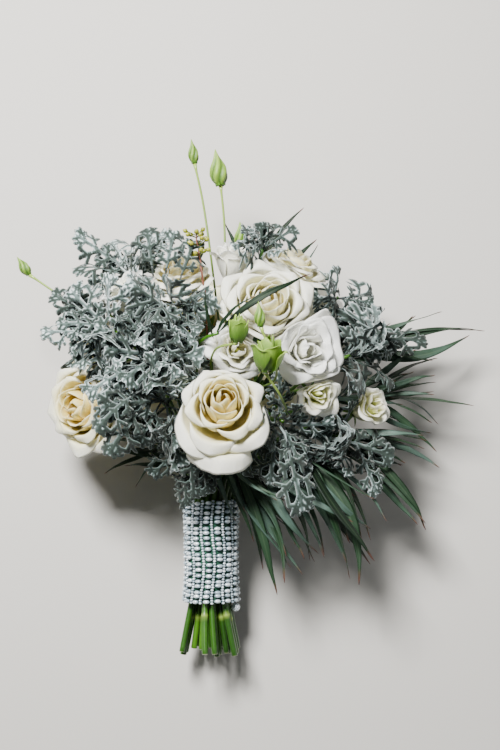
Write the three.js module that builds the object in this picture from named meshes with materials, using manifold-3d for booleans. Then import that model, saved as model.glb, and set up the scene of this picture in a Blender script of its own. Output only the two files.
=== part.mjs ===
// A hand-tied bridal bouquet, laid down on its back. Ivory roses and white lisianthus sit in a dome
// among lobed silver leaves and long willow eucalyptus leaves. All the stems run down through one
// binding, which is taped, covered by a net of pearls and closed by a ball-headed pin.
// Millimetres. In the bouquet's own frame +Y runs along the stems to the flowers, +Z is its front
// and the origin is the middle of the binding's top. At the end the bouquet is laid on its back.
import * as THREE from "three";
import { mergeVertices } from "three/addons/utils/BufferGeometryUtils.js";
import Module from "manifold-3d";

const wasm = await Module();
wasm.setup();

// How the bouquet lies: the tilt that brings its back flowers and its cut ends down together, and
// how high that holds the middle of the binding's top above the surface.
const TILT = THREE.MathUtils.degToRad(9);
const LIE_HEIGHT = 52;

// The binding.
const STEM_PITCH = 5.9;
const STEM_RADIUS = 2.7;
const BINDING_LENGTH = 91;
const TAIL_LENGTH = 48;
const TAIL_SPREAD = 1.6;
const TWIST_PER_MM = THREE.MathUtils.degToRad(0.15);
const FAN_APEX = -90;
const TAPE_INSIDE = 20.8;
const TAPE_THICKNESS = 0.8;
const TAPE_SIDES = 18;
const PEARL_INSIDE = 21.9;
const PEARL_VALLEY = 23.5;
const PEARL_CROWN = 25.1;
const PEARL_FLARE = 1.4;
const PEARL_TOP = 2;
const PEARL_ROWS = 9;
const PEARL_COLUMNS = 10;
const PETAL_THICKNESS = 1.5;
const HEART_FOOT = 5;
const SKIRT_DROP = 0.35;
const STEM_SIDES = 5;
const HIP_LENGTH = 9;
const ROSE_HIP = 4.6;
const LISIANTHUS_HIP = 3.4;
const SEPALS = 5;
const SEPAL_DROP = 2.6;
const ROSE_SEPAL = 18;
const LISIANTHUS_SEPAL = 13;
const BRANCH_STEPS = 4;
const BRANCH_RADIUS = 1;
const BUD_SIDES = 4;
const BUD_SWELL = [
  [0.16, 0.85],
  [0.46, 0.95],
  [1, 0.1],
];
const FLOWER_FAN_STEPS = 3;
const LEAF_FAN_STEPS = 3;
const BOW_WAYS = 10;
const CUT_SPREAD = 6;
const FLOWER_STEM_TOP = 2;
const LEAF_STEM_TOP = 1.5;
const BOW_STEP = 7;
const MOST_BOW = 72;
const PIN_RADIUS = 23;
const PIN_BALL = 4.2;
const PIN_SHANK = 0.45;
const PIN_HOLE = 0.8;
const PIN_LENGTH = 18;
const PIN_ANGLE = THREE.MathUtils.degToRad(15);

// Gaps between neighbours.
const SEAT_GAP = 0.3;
const CELL_GAP = 0.45;
const LEAF_GAP = 0.4;
const STEM_GAP = 0.35;
const SURFACE_GAP = 1;
const FLOOR_PRESS = 5;
const SQUASH_DEPTH = 9;

// Leaves, as shares of their length where no unit is given, and the changes tried to bend one clear.
const SILVER_THICKNESS = 1.3;
const FORK_DEPTH = 8;
const STALK_RADIUS = 1;
const SINGLE_BEND = 0.5;
const LEAF_CUP = 0.9;
const FOOT_SHARE = 0.1;
const LEAF_SPACING = 3.4;
const LEAF_TURNS = [0, 0.35, -0.35, 0.7, -0.7, 1.1, -1.1];
const LEAF_LEANS = [1, 0.65, 1.35, 0.35];
const LEAF_SHORTER = [1, 0.8];
const WILLOW_THICKNESS = 1.2;
const WILLOW_CUP = 3;
const WILLOW_BENDS = [0.5, 0.25, 0.8, -0.3];
const WILLOW_SHIFTS = [0, 8, -8, 16, -16, 24];
const SEED_RADIUS = 2.1;
const SEED_STARS = 3;
const SEED_STEM = 0.9;
const SEED_STALK = 0.5;
const SEED_SPACING = 8;

const GOLDEN_ANGLE = THREE.MathUtils.degToRad(137.508);

// Colours, read from the photograph.
const material = (color, roughness) =>
  new THREE.MeshStandardMaterial({ color, roughness, metalness: 0 });
const IVORY = material("#efe6cf", 0.6);
const WHITE = material("#eeeee2", 0.6);
const GREEN = material("#5d8a2e", 0.45);
const SILVER = material("#a9b5ae", 0.85);
const BLUE_GREEN = material("#3c5a48", 0.55);
const SEED = material("#a3a23a", 0.5);
const TAPE = material("#1f5a42", 0.6);
const PEARL = material("#dfe4ea", 0.25);

// The flowers: where the middle of the face is, which way it looks, how wide and how deep it is,
// and how far it is turned about its own axis. open runs from 0, a closed cup, to 1, wide open.
// skirt is how much longer the petals are on the side that points back down the bouquet.
const ROSE = "rose";
const LISIANTHUS = "lisianthus";
const flower = (name, kind, at, face, radius, depth, roll, petals, open = 1, skirt = 0) => ({
  name,
  kind,
  at: new THREE.Vector3(...at),
  face: new THREE.Vector3(...face).normalize(),
  radius,
  depth,
  roll,
  petals,
  open,
  skirt,
});
const FLOWERS = [
  flower("rose_front", ROSE, [13, 90, 112], [0.02, 0.24, 0.97], 39, 47, 0.4, 9, 1, 0.25),
  flower("rose_left", ROSE, [-123, 86, 52], [-0.62, 0.03, 0.78], 46, 47, 2.1, 9, 1, 0.03),
  flower("rose_right", ROSE, [53, 182, 86], [0.15, 0.4, 0.9], 45, 47, 4.0, 9),
  flower("rose_top_right", ROSE, [80, 222, 30], [0.4, 0.85, 0.3], 35, 42, 1.2, 7),
  flower("rose_top", ROSE, [-28, 212, 52], [-0.15, 0.85, 0.5], 34, 42, 5.0, 7),
  flower("rose_left_back", ROSE, [-121, 141, 8], [-0.85, 0.45, 0.1], 36, 42, 0.9, 7),
  flower("rose_back_left", ROSE, [-66, 106, -67], [-0.5, 0, -0.87], 38, 42, 3.0, 6),
  flower("rose_back_right", ROSE, [60, 104, -67], [0.45, 0, -0.9], 38, 42, 1.7, 6),
  flower("rose_back_top", ROSE, [-4, 178, -71], [-0.05, 0.5, -0.86], 38, 42, 5.6, 6),
  flower("lisianthus_right", LISIANTHUS, [89, 136, 98], [0.35, 0.1, 0.93], 36, 36, 0.5, 7),
  flower("lisianthus_middle", LISIANTHUS, [26, 137, 84], [0.05, 0.1, 0.98], 33, 36, 2.6, 6, 0.8),
  flower("lisianthus_top_left", LISIANTHUS, [-84, 198, 38], [-0.5, 0.75, 0.4], 29, 36, 4.4, 6, 0.7),
  flower("lisianthus_top", LISIANTHUS, [20, 230, 38], [0, 0.95, 0.2], 27, 38, 1.1, 6, 0.4),
  flower("lisianthus_small", LISIANTHUS, [98, 97, 88], [0.4, -0.05, 0.92], 23, 30, 3.3, 6, 0.8),
  flower("lisianthus_side", LISIANTHUS, [150, 88, 46], [0.6, 0.25, 0.7], 22, 34, 5.2, 6, 0.5),
  flower("lisianthus_back", LISIANTHUS, [112, 172, -42], [0.7, 0.4, -0.6], 29, 36, 0.2, 6, 0.8),
];

// Lisianthus buds, each on a thin branch of the flower stem that it is listed with: where the branch
// leaves the stem as a share of its length above the binding, the points that it runs through,
// then the bud's tip, and the bud's radius.
const bud = (stem, from, through, tip, radius) => ({ stem, from, through, tip, radius });
const BUDS = [
  bud("lisianthus_top", 0.62, [[2, 205, 22], [-6, 262, 20], [-14, 300, 20]], [-17, 322, 20], 4.2),
  bud("lisianthus_top", 0.7, [[13, 214, 14], [12, 250, 12], [9, 281, 12]], [4, 314, 12], 7.2),
  bud("lisianthus_top", 0.66, [[30, 196, 6], [33, 215, 6], [28, 226, 6]], [26, 250, 6], 5.6),
  bud("lisianthus_top_left", 0.6, [[-92, 168, 18], [-124, 178, 26], [-160, 201, 26]], [-171, 217, 26], 4.2),
  bud("lisianthus_middle", 0.62, [[50, 104, 74], [57, 118, 116], [44, 152, 128]], [42, 173, 129], 4.2),
  bud("lisianthus_middle", 0.6, [[2, 116, 58], [6, 134, 94], [24, 139, 116]], [27, 164, 120], 7.6),
  bud("lisianthus_middle", 0.42, [[62, 78, 66], [62, 92, 106], [48, 114, 122]], [53, 147, 127], 9),
];

// Silver leafy stems: where the bunch of leaves starts, which way it looks, how many leaves it has,
// how long they are and the seed of their draw.
const bunch = (name, at, face, leaves, length, seed) => ({
  name,
  at: new THREE.Vector3(...at),
  face: new THREE.Vector3(...face).normalize(),
  leaves,
  length,
  seed,
});
const SILVER_BUNCHES = [
  bunch("silver_leaves_middle", [-50, 136, 62], [-0.2, 0.1, 0.97], 7, 54, 11),
  bunch("silver_leaves_left", [-86, 152, 44], [-0.6, 0.3, 0.74], 7, 56, 23),
  bunch("silver_leaves_upper", [-34, 172, 60], [-0.15, 0.4, 0.9], 7, 52, 37),
  bunch("silver_leaves_front", [-40, 92, 62], [-0.25, -0.1, 0.97], 7, 56, 41),
  bunch("silver_leaves_top_left", [-70, 196, 14], [-0.4, 0.8, 0.4], 5, 56, 59),
  bunch("silver_leaves_lower", [-30, 54, 48], [-0.08, -0.35, 0.93], 6, 46, 67),
  bunch("silver_leaves_top", [46, 222, 44], [0.22, 0.7, 0.68], 5, 38, 77),
  bunch("silver_leaves_top_right", [114, 182, 8], [0.8, 0.05, 0.6], 5, 46, 83),
  bunch("silver_leaves_right", [124, 130, 30], [0.9, 0.3, 0.3], 5, 60, 97),
  bunch("silver_leaves_lower_right", [64, 72, 62], [0.25, -0.3, 0.92], 6, 50, 101),
  bunch("silver_leaves_low_side", [112, 58, 38], [0.65, -0.25, 0.7], 5, 52, 113),
  bunch("silver_leaves_back_left", [-96, 152, -40], [-0.7, 0.4, -0.5], 5, 52, 127),
];

// Silver leaves that stand out from their bunch: the bunch, the leaf's foot and its tip.
const SILVER_SINGLES = [
  ["silver_leaves_lower_right", [65, 62, 80], [80, -4, 84]],
  ["silver_leaves_top_left", [-76, 205, 14], [-121, 238, 16]],
  ["silver_leaves_lower", [-24, 38, 52], [-20, -2, 50]],
  ["silver_leaves_right", [138, 144, 34], [190, 142, 34]],
  ["silver_leaves_low_side", [128, 52, 48], [146, 8, 50]],
  ["silver_leaves_left", [-98, 148, 52], [-147, 150, 44]],
  ["silver_leaves_left", [-96, 160, 46], [-140, 184, 30]],
];

// Willow eucalyptus sprays: the stem's tip and the way it runs out, then for each leaf how far back
// from the tip its foot is, and where its own tip is.
const spray = (name, at, face, leaves) => ({
  name,
  at: new THREE.Vector3(...at),
  face: new THREE.Vector3(...face).normalize(),
  leaves,
});
const EUCALYPTUS_SPRAYS = [
  spray("eucalyptus_low", [22, 37, 47], [0.35, -0.85, 0.42], [
    [0, [57, -80, 40]],
    [4, [47, -56, 47]],
    [8, [80, -64, 26]],
    [12, [71, -16, 56]],
    [16, [97, -42, 34]],
    [20, [95, -54, 18]],
  ]),
  spray("eucalyptus_low_right", [84, 48, 48], [0.6, -0.7, 0.3], [
    [0, [124, -64, 52]],
    [5, [144, -54, 56]],
    [10, [121, -31, 34]],
    [15, [158, -5, 62]],
    [20, [129, 5, 24]],
    [25, [142, -47, 40]],
  ]),
  spray("eucalyptus_right", [128, 54, 22], [0.85, -0.5, 0.1], [
    [0, [194, -19, 36]],
    [5, [170, 31, 12]],
    [10, [205, 30, 2]],
    [15, [153, 20, 8]],
    [20, [194, 50, -6]],
    [25, [170, 43, 36]],
  ]),
  spray("eucalyptus_side", [152, 92, 0], [0.95, -0.1, 0], [
    [0, [237, 84, -6]],
    [4, [198, 70, 14]],
    [8, [203, 43, -14]],
    [12, [203, 104, -18]],
    [16, [200, 95, 10]],
    [20, [182, 118, 4]],
  ]),
  spray("eucalyptus_upper_right", [146, 138, -16], [0.95, 0.2, -0.1], [
    [0, [250, 155, -24]],
    [5, [199, 123, -2]],
    [10, [187, 166, -20]],
    [15, [196, 150, -40]],
  ]),
  spray("eucalyptus_middle", [8, 148, 92], [0.1, 0.2, 0.97], [
    [0, [86, 194, 120]],
    [4, [38, 178, 118]],
    [8, [-4, 184, 106]],
  ]),
  spray("eucalyptus_top", [44, 206, -16], [0.1, 0.97, 0.1], [
    [0, [83, 263, 6]],
    [5, [54, 242, 34]],
    [10, [12, 256, 8]],
    [15, [96, 238, -26]],
  ]),
  spray("eucalyptus_left", [-48, 46, 6], [-0.85, -0.25, 0.3], [
    [0, [-96, 26, 14]],
    [5, [-88, 40, -10]],
    [10, [-66, 12, 22]],
    [15, [-104, 54, -22]],
  ]),
];
const SEEDED_SPRAY = bunch("seeded_eucalyptus", [-8, 212, 66], [-0.15, 0.97, 0.15], 9, 11, 307);

// A repeatable draw of numbers from 0 to 1.
function drawer(seed) {
  let state = seed >>> 0;
  return () => {
    state = (Math.imul(state, 1664525) + 1013904223) >>> 0;
    return state / 4294967296;
  };
}

const mix = (a, b, share) => a + (b - a) * share;

// Three square directions with the third along face, and the first level with the bouquet's side.
function axesAlong(face) {
  const up = Math.abs(face.y) > 0.95 ? new THREE.Vector3(0, 0, 1) : new THREE.Vector3(0, 1, 0);
  const x = new THREE.Vector3().crossVectors(up, face).normalize();
  const y = new THREE.Vector3().crossVectors(face, x);
  return { x, y, z: face.clone() };
}

const inAxes = (axes, origin, x, y, z) =>
  origin.clone().addScaledVector(axes.x, x).addScaledVector(axes.y, y).addScaledVector(axes.z, z);

// A closed geometry as a solid, and solids joined into one body without loose scraps.
function solidOf(geometry) {
  const bare = geometry.clone();
  bare.deleteAttribute("normal");
  bare.deleteAttribute("uv");
  const merged = mergeVertices(bare, 1e-3);
  return new wasm.Manifold(
    new wasm.Mesh({
      numProp: 3,
      vertProperties: new Float32Array(merged.attributes.position.array),
      triVerts: new Uint32Array(merged.index.array),
    }),
  );
}

const largest = (solid) => solid.decompose().sort((a, b) => b.volume() - a.volume())[0];
const oneBody = (solids) => largest(wasm.Manifold.union(solids));

function geometryOf(solid) {
  const mesh = solid.getMesh();
  const geometry = new THREE.BufferGeometry();
  geometry.setAttribute("position", new THREE.BufferAttribute(mesh.vertProperties.slice(), 3));
  geometry.setIndex(new THREE.BufferAttribute(mesh.triVerts.slice(), 1));
  geometry.computeVertexNormals();
  return geometry;
}

function closedGeometry(points, faces) {
  const geometry = new THREE.BufferGeometry().setFromPoints(points);
  geometry.setIndex(faces);
  return geometry;
}

// A stem of changing radius along points, with flat ends.
function sweep(points, radii, sides, turns = () => 0) {
  const tangents = points.map((p, i) => {
    const before = points[Math.max(0, i - 1)];
    const after = points[Math.min(points.length - 1, i + 1)];
    return after.clone().sub(before).normalize();
  });
  const across = new THREE.Vector3(1, 0, 0);
  const corners = [];
  points.forEach((p, i) => {
    across.addScaledVector(tangents[i], -across.dot(tangents[i])).normalize();
    const other = new THREE.Vector3().crossVectors(across, tangents[i]);
    for (let k = 0; k < sides; k++) {
      const angle = (k / sides) * 2 * Math.PI + turns(i);
      corners.push(
        p
          .clone()
          .addScaledVector(across, Math.cos(angle) * radii[i])
          .addScaledVector(other, Math.sin(angle) * radii[i]),
      );
    }
  });
  const faces = [];
  for (let i = 0; i + 1 < points.length; i++)
    for (let k = 0; k < sides; k++) {
      const a = i * sides + k;
      const b = i * sides + ((k + 1) % sides);
      faces.push(a, a + sides, b, b, a + sides, b + sides);
    }
  const last = (points.length - 1) * sides;
  for (let k = 1; k + 1 < sides; k++) {
    faces.push(0, k, k + 1);
    faces.push(last, last + k + 1, last + k);
  }
  return closedGeometry(corners, faces);
}

// A thin closed sheet with sharp edges, such as a petal. place gives the point of its middle surface
// at s, -1 to 1 across, and t, 0 to 1 along, and bend moves the finished corners.
function sheet(across, along, thickness, place, bend) {
  const points = [];
  const front = [];
  const back = [];
  const step = 1e-3;
  for (let j = 0; j <= along; j++)
    for (let i = 0; i <= across; i++) {
      const s = (i / across) * 2 - 1;
      const t = j / along;
      const middle = place(s, t);
      const ds = place(s + step, t).sub(place(s - step, t));
      const dt = place(s, t + step).sub(place(s, t - step));
      const normal = ds.cross(dt).normalize();
      const edge = i === 0 || i === across || j === 0 || j === along;
      front.push(points.length);
      back.push(edge ? points.length : points.length + 1);
      const half = edge ? 0 : thickness / 2;
      points.push(bend(middle.clone().addScaledVector(normal, half)));
      if (!edge) points.push(bend(middle.clone().addScaledVector(normal, -half)));
    }
  const faces = [];
  const wide = across + 1;
  for (let j = 0; j < along; j++)
    for (let i = 0; i < across; i++) {
      const corner = [j * wide + i, j * wide + i + 1, (j + 1) * wide + i + 1, (j + 1) * wide + i];
      const flip = (i + j) % 2 === 1;
      const split = flip ? [0, 1, 3, 1, 2, 3] : [0, 1, 2, 0, 2, 3];
      for (let k = 0; k < 6; k += 3) {
        const [a, b, c] = [split[k], split[k + 1], split[k + 2]].map((n) => corner[n]);
        faces.push(front[a], front[b], front[c]);
        faces.push(back[a], back[c], back[b]);
      }
    }
  return closedGeometry(points, faces);
}

// The walls that a flower is pressed against: one between it and each near flower, set nearer to
// the smaller one, and the surface that the bouquet lies on.
const down = new THREE.Vector3(0, -Math.sin(TILT), -Math.cos(TILT));
const FLOOR = { normal: down, reach: LIE_HEIGHT + FLOOR_PRESS };
const slab = new THREE.BoxGeometry(900, 900, 60).translate(0, 0, 30);
slab.applyQuaternion(new THREE.Quaternion().setFromUnitVectors(new THREE.Vector3(0, 0, 1), down));
const slabAt = (reach) => solidOf(slab.clone().translate(...down.clone().multiplyScalar(reach)));
const surface = slabAt(LIE_HEIGHT);
const middleOf = (f) => f.at.clone().addScaledVector(f.face, -0.4 * f.depth);

function wallsOf(f) {
  const walls = [FLOOR];
  for (const other of FLOWERS) {
    if (other === f) continue;
    const away = middleOf(other).sub(middleOf(f));
    const distance = away.length();
    if (distance > f.radius + other.radius + SQUASH_DEPTH) continue;
    const normal = away.normalize();
    const share = (distance ** 2 + f.radius ** 2 - other.radius ** 2) / (2 * distance);
    const reach = middleOf(f).dot(normal) + share - CELL_GAP;
    walls.push({ normal, reach });
  }
  return walls;
}

// Presses a point back from every wall that it comes near or passes, and never onto the wall.
function pressBack(point, walls) {
  for (const { normal, reach } of walls) {
    const past = point.dot(normal) - reach;
    if (past <= -SQUASH_DEPTH) continue;
    const kept = -SQUASH_DEPTH * Math.exp(-(past + SQUASH_DEPTH) / SQUASH_DEPTH);
    point.addScaledVector(normal, kept - past);
  }
  return point;
}

// A cubic curve's value, for a petal's profile.
const curve = (a, b, c, d, t) =>
  a * (1 - t) ** 3 + 3 * b * t * (1 - t) ** 2 + 3 * c * t ** 2 * (1 - t) + d * t ** 3;

// One petal in its flower's frame, wrapped about the flower's axis. Petal 0 is the innermost.
function petalShape(f, k) {
  const q = k / (f.petals - 1);
  const turn = f.roll + k * GOLDEN_ANGLE;
  const skirt = 1 + f.skirt * q * Math.max(0, -Math.sin(turn));
  const R = f.radius;
  const H = f.depth;
  if (f.kind === ROSE) {
    const bulge = R * mix(0.32, 0.76, q) * mix(1, skirt, 0.5);
    const tip = R * mix(0.1, 1.0, q ** 1.2) * skirt;
    const high = H * mix(1.0, 0.66, q ** 2);
    return {
      turn,
      half: mix(1.35, 0.98, q),
      radii: [3, bulge * 1.25, bulge * 1.02, tip],
      heights: [mix(7, 1.5, q), H * mix(0.16, 0, q), high * 0.95, high * mix(1, 2 - skirt, SKIRT_DROP)],
      droop: H * mix(0.1, 0.16, q),
      ruffle: 0,
      narrow: mix(0.62, 0.72, q),
    };
  }
  const wide = mix(0.45, 1, q ** 0.8) * mix(0.55, 1, f.open);
  return {
    turn,
    half: mix(1.15, 0.88, q),
    radii: [2.5, R * mix(0.35, 0.62, q), R * mix(0.42, 0.62, q), R * wide],
    heights: [mix(5, 1, q), H * mix(0.2, 0.06, q), H * 0.75, H * mix(1, mix(0.95, 0.72, f.open), q)],
    droop: H * 0.12,
    ruffle: R * 0.07,
    narrow: 0.8,
  };
}

function petalPoint(f, k, axes, base, s, t) {
  const shape = petalShape(f, k);
  const spread = shape.half * mix(0.35, 1, Math.sin(Math.PI * 0.5 * Math.min(1, t * 1.5)));
  const pinch = mix(1, shape.narrow, Math.max(0, t - 0.6) / 0.4);
  const angle = shape.turn + s * spread * pinch;
  const wave = shape.ruffle * t * t;
  const radius = curve(...shape.radii, t) + wave * Math.cos(s * 5 + k);
  const height = curve(...shape.heights, t) - shape.droop * s * s * t + wave * Math.sin(s * 6 + k);
  return inAxes(axes, base, radius * Math.cos(angle), radius * Math.sin(angle), height);
}

// The tight middle of a flower, which the petals' feet are sunk in.
function flowerHeart(f, axes, base, walls) {
  const R = f.radius;
  const H = f.depth;
  const rose = f.kind === ROSE;
  const wide = rose ? 0.2 * R : 0.12 * R;
  const high = rose ? 0.74 * H : 0.5 * H;
  const heights = [0, high * 0.3, high];
  const points = heights.map((h) => inAxes(axes, base, 0, 0, h));
  const geometry = sweep(points, [HEART_FOOT, wide, wide * 0.2], 5);
  const position = geometry.attributes.position;
  const corner = new THREE.Vector3();
  for (let i = 0; i < position.count; i++) {
    pressBack(corner.fromBufferAttribute(position, i), walls);
    position.setXYZ(i, ...corner);
  }
  return geometry;
}

function flowerHead(f) {
  const axes = axesAlong(f.face);
  const base = f.at.clone().addScaledVector(f.face, -f.depth);
  const walls = wallsOf(f);
  const solids = [solidOf(flowerHeart(f, axes, base, walls))];
  const along = f.petals === 9 ? 3 : 2;
  for (let k = 0; k < f.petals; k++) {
    const place = (s, t) => petalPoint(f, k, axes, base, s, t);
    solids.push(solidOf(sheet(3, along, PETAL_THICKNESS, place, (p) => pressBack(p, walls))));
  }
  return largest(oneBody(solids).subtract(surface));
}

// The stems' places in the binding: one in the middle and rings of 6, 12 and 18 round it. The more
// a stem leans out above the binding, the further out its place is.
function ringPlaces(ring) {
  if (ring === 0) return [{ x: 0, z: 0, angle: 0 }];
  const places = [];
  for (let side = 0; side < 6; side++)
    for (let step = 0; step < ring; step++) {
      const a = (side * Math.PI) / 3;
      const b = a + Math.PI / 3;
      const share = step / ring;
      const x = ring * STEM_PITCH * mix(Math.cos(a), Math.cos(b), share);
      const z = ring * STEM_PITCH * mix(Math.sin(a), Math.sin(b), share);
      places.push({ x, z, angle: Math.atan2(z, x) });
    }
  return places;
}

const turnBetween = (a, b) => Math.abs(Math.atan2(Math.sin(a - b), Math.cos(a - b)));

function placeStems(stems) {
  const leaning = [...stems].sort((a, b) => a.lean - b.lean);
  let from = 0;
  for (let ring = 0; ring <= 3; ring++) {
    const places = ringPlaces(ring).sort((a, b) => a.angle - b.angle);
    const members = leaning.slice(from, from + places.length).sort((a, b) => a.angle - b.angle);
    from += places.length;
    const cost = (shift) =>
      members.reduce(
        (sum, m, i) => sum + turnBetween(m.angle, places[(i + shift) % places.length].angle) ** 2,
        0,
      );
    let best = 0;
    for (let shift = 1; shift < places.length; shift++) {
      if (cost(shift) < cost(best)) best = shift;
    }
    members.forEach((m, i) => (m.place = places[(i + best) % places.length]));
  }
}

// A stem's way from its cut end, up through the binding and out to its head.
function stemPoint(place, y) {
  const turn = TWIST_PER_MM * y;
  const spread = y < -BINDING_LENGTH ? mix(1, TAIL_SPREAD, (-y - BINDING_LENGTH) / TAIL_LENGTH) : 1;
  const x = (place.x * Math.cos(turn) - place.z * Math.sin(turn)) * spread;
  const z = (place.x * Math.sin(turn) + place.z * Math.cos(turn)) * spread;
  return new THREE.Vector3(x, y, z);
}

function fanCurve(stem, bow) {
  const start = stemPoint(stem.place, 0);
  const reach = start.distanceTo(stem.end);
  const out = start.clone().sub(new THREE.Vector3(0, FAN_APEX, 0)).normalize();
  return new THREE.CubicBezierCurve3(
    start,
    start.clone().addScaledVector(out, reach * 0.35),
    stem.end.clone().addScaledVector(stem.face, -reach * 0.35).add(bow),
    stem.end,
  );
}

function stemSolid(stem, fan, steps, gap = 0) {
  const tail = stem.short ? -BINDING_LENGTH + 12 : -BINDING_LENGTH - TAIL_LENGTH + stem.cut;
  const levels = stem.short ? [tail, 0] : [tail, -BINDING_LENGTH, 0];
  const points = levels.map((y) => stemPoint(stem.place, y));
  const radii = levels.map(() => STEM_RADIUS);
  const turns = levels.map((y) => TWIST_PER_MM * y);
  for (let i = 1; i <= steps; i++) {
    points.push(fan.getPoint(i / steps));
    radii.push(mix(STEM_RADIUS, stem.topRadius, Math.min(1, (1.6 * i) / steps)) + gap);
    turns.push(0);
  }
  for (const [along, radius] of stem.hip) {
    points.push(stem.end.clone().addScaledVector(stem.face, along));
    radii.push(radius + gap);
    turns.push(0);
  }
  return solidOf(sweep(points, radii, STEM_SIDES, (i) => turns[i]));
}

// The first bow of a stem that clears all that stands.
function clearFan(stem, steps) {
  const straight = fanCurve(stem, new THREE.Vector3());
  const axes = axesAlong(stem.end.clone().sub(straight.v0).normalize());
  for (let bow = 0; bow <= MOST_BOW; bow += BOW_STEP)
    for (let k = 0; k < BOW_WAYS; k++) {
      const turn = (k * 2 * Math.PI) / BOW_WAYS;
      const shift = inAxes(axes, new THREE.Vector3(), bow * Math.cos(turn), bow * Math.sin(turn), 0);
      const fan = fanCurve(stem, shift);
      if (clears(stemSolid(stem, fan, steps, STEM_GAP))) return fan;
    }
  return straight;
}

// Under a flower's hip hang pointed sepals, each a thin diamond with its foot sunk in the hip.
function sepalSolids(f) {
  const axes = axesAlong(f.face);
  const wide = f.kind === ROSE ? ROSE_HIP : LISIANTHUS_HIP;
  const base = f.at.clone().addScaledVector(f.face, -f.depth - SEAT_GAP - SEPAL_DROP);
  const long = f.kind === ROSE ? ROSE_SEPAL : LISIANTHUS_SEPAL;
  const half = long * 0.14;
  return Array.from({ length: SEPALS }, (_, k) => {
    const angle = f.roll + (k * 2 * Math.PI) / SEPALS;
    const at = (out, side, up) => {
      const x = out * Math.cos(angle) - side * Math.sin(angle);
      const y = out * Math.sin(angle) + side * Math.cos(angle);
      return inAxes(axes, base, x, y, up);
    };
    const middle = wide + long * 0.25;
    const corners = [
      at(wide * 0.6, 0, 0.5),
      at(middle, -half, -long * 0.07),
      at(wide + long * 0.9, 0, -long * 0.5),
      at(middle, half, -long * 0.07),
      at(middle, 0, -long * 0.05 + 0.5),
      at(middle, 0, -long * 0.05 - 0.5),
    ];
    const faces = [0, 1, 4, 1, 2, 4, 2, 3, 4, 3, 0, 4, 1, 0, 5, 2, 1, 5, 3, 2, 5, 0, 3, 5];
    return solidOf(closedGeometry(corners, faces));
  });
}

// A bud on its branch, as one sweep: the closed petals swell from the branch and run to a point.
function budSolid(b, fan) {
  const through = b.through.map((p) => new THREE.Vector3(...p));
  const path = new THREE.CatmullRomCurve3([fan.getPoint(b.from), ...through]);
  const points = path.getPoints(BRANCH_STEPS);
  const radii = points.map(() => BRANCH_RADIUS);
  const foot = through[through.length - 1];
  const tip = new THREE.Vector3(...b.tip);
  for (const [share, width] of BUD_SWELL) {
    points.push(foot.clone().lerp(tip, share));
    radii.push(width * b.radius);
  }
  return solidOf(sweep(points, radii, BUD_SIDES));
}

// Solids that stand already, which what comes later is bent clear of.
const standing = [slabAt(LIE_HEIGHT - SURFACE_GAP)];
const clears = (solid) => standing.every((other) => solid.intersect(other).isEmpty());

// A leaf's pose: its foot, the way it sets out, the way its upper side faces, its length, how far it
// bends over along its length, how much its sides hang and how far it sways sideways.
function leafPoint(pose, x, y, z) {
  const { root, along, normal, length, bend, cup, sway } = pose;
  const side = new THREE.Vector3().crossVectors(along, normal);
  const turned = bend * y;
  const arc = length / bend;
  const lift = z - cup * x * x * length;
  const across = x * length + sway * length * Math.sin(Math.PI * y);
  const forward = arc * Math.sin(turned) + lift * Math.sin(turned);
  const rise = lift * Math.cos(turned) - arc * (1 - Math.cos(turned));
  const foot = root.clone().addScaledVector(side, across);
  return foot.addScaledVector(along, forward).addScaledVector(normal, rise);
}

// The leaf from root to tip that faces up, as near as it can, the way that skyward points.
function poseBetween(root, tip, skyward, bend, cup, sway) {
  const chord = tip.clone().sub(root);
  const straight = chord.length();
  const way = chord.clone().divideScalar(straight);
  const up = skyward.clone().addScaledVector(way, -skyward.dot(way)).normalize();
  const half = bend / 2;
  const along = way.clone().multiplyScalar(Math.cos(half)).addScaledVector(up, Math.sin(half));
  const normal = up.clone().multiplyScalar(Math.cos(half)).addScaledVector(way, -Math.sin(half));
  const length = (straight * half) / Math.sin(half);
  return { root, along, normal, length, bend, cup, sway };
}

// A leaf for a length of 1: one side of its outline from foot to tip, each corner with the number of
// the rib corner that it is joined to, and how far up those rib corners are.
const SILVER_BLADE = {
  ribs: [0.38, 0.56, 0.8],
  side: [
    [0.025, 0, 0],
    [0.2, 0.44, 0],
    [0.035, 0.48, 1],
    [0.28, 0.64, 1],
    [0.22, 0.74, 1],
    [0.04, 0.7, 2],
    [0.17, 0.91, 2],
    [0, 1, 2],
  ],
};
const WILLOW_BLADE = {
  ribs: [0.3, 0.66],
  side: [
    [0.011, 0, 0],
    [0.03, 0.2, 0],
    [0.039, 0.5, 1],
    [0.025, 0.8, 1],
    [0, 1, 1],
  ],
};

// A leaf that is thick at its rib and sharp at its edge, laid in its pose. Its foot may be cut back.
function leafSolid({ ribs, side }, thickness, pose, foot = 0) {
  const last = side.length - 1;
  const edge = side.slice(0, last);
  const lift = thickness / 2;
  const flat = [
    ...edge.map(([x, y]) => [x, Math.max(y, foot), 0]),
    ...edge.map(([x, y]) => [-x, Math.max(y, foot), 0]),
    [0, 1, 0],
    ...ribs.map((y) => [0, y, lift]),
    ...ribs.map((y) => [0, y, -lift]),
  ];
  const tip = 2 * last;
  const front = tip + 1;
  const back = front + ribs.length;
  const faces = [];
  for (const [rib, flip] of [[front, false], [back, true]])
    for (const [first, mirror] of [[0, false], [last, true]]) {
      const put = (a, b, c) => (flip === mirror ? faces.push(a, b, c) : faces.push(a, c, b));
      for (let i = 0; i < last; i++) {
        const next = i + 1 < last ? first + i + 1 : tip;
        const from = side[i][2];
        const to = side[i + 1][2];
        put(first + i, next, rib + from);
        if (to !== from) put(next, rib + to, rib + from);
      }
    }
  faces.push(last, 0, front, 0, last, back);
  return solidOf(closedGeometry(flat.map((p) => leafPoint(pose, ...p)), faces));
}

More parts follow.
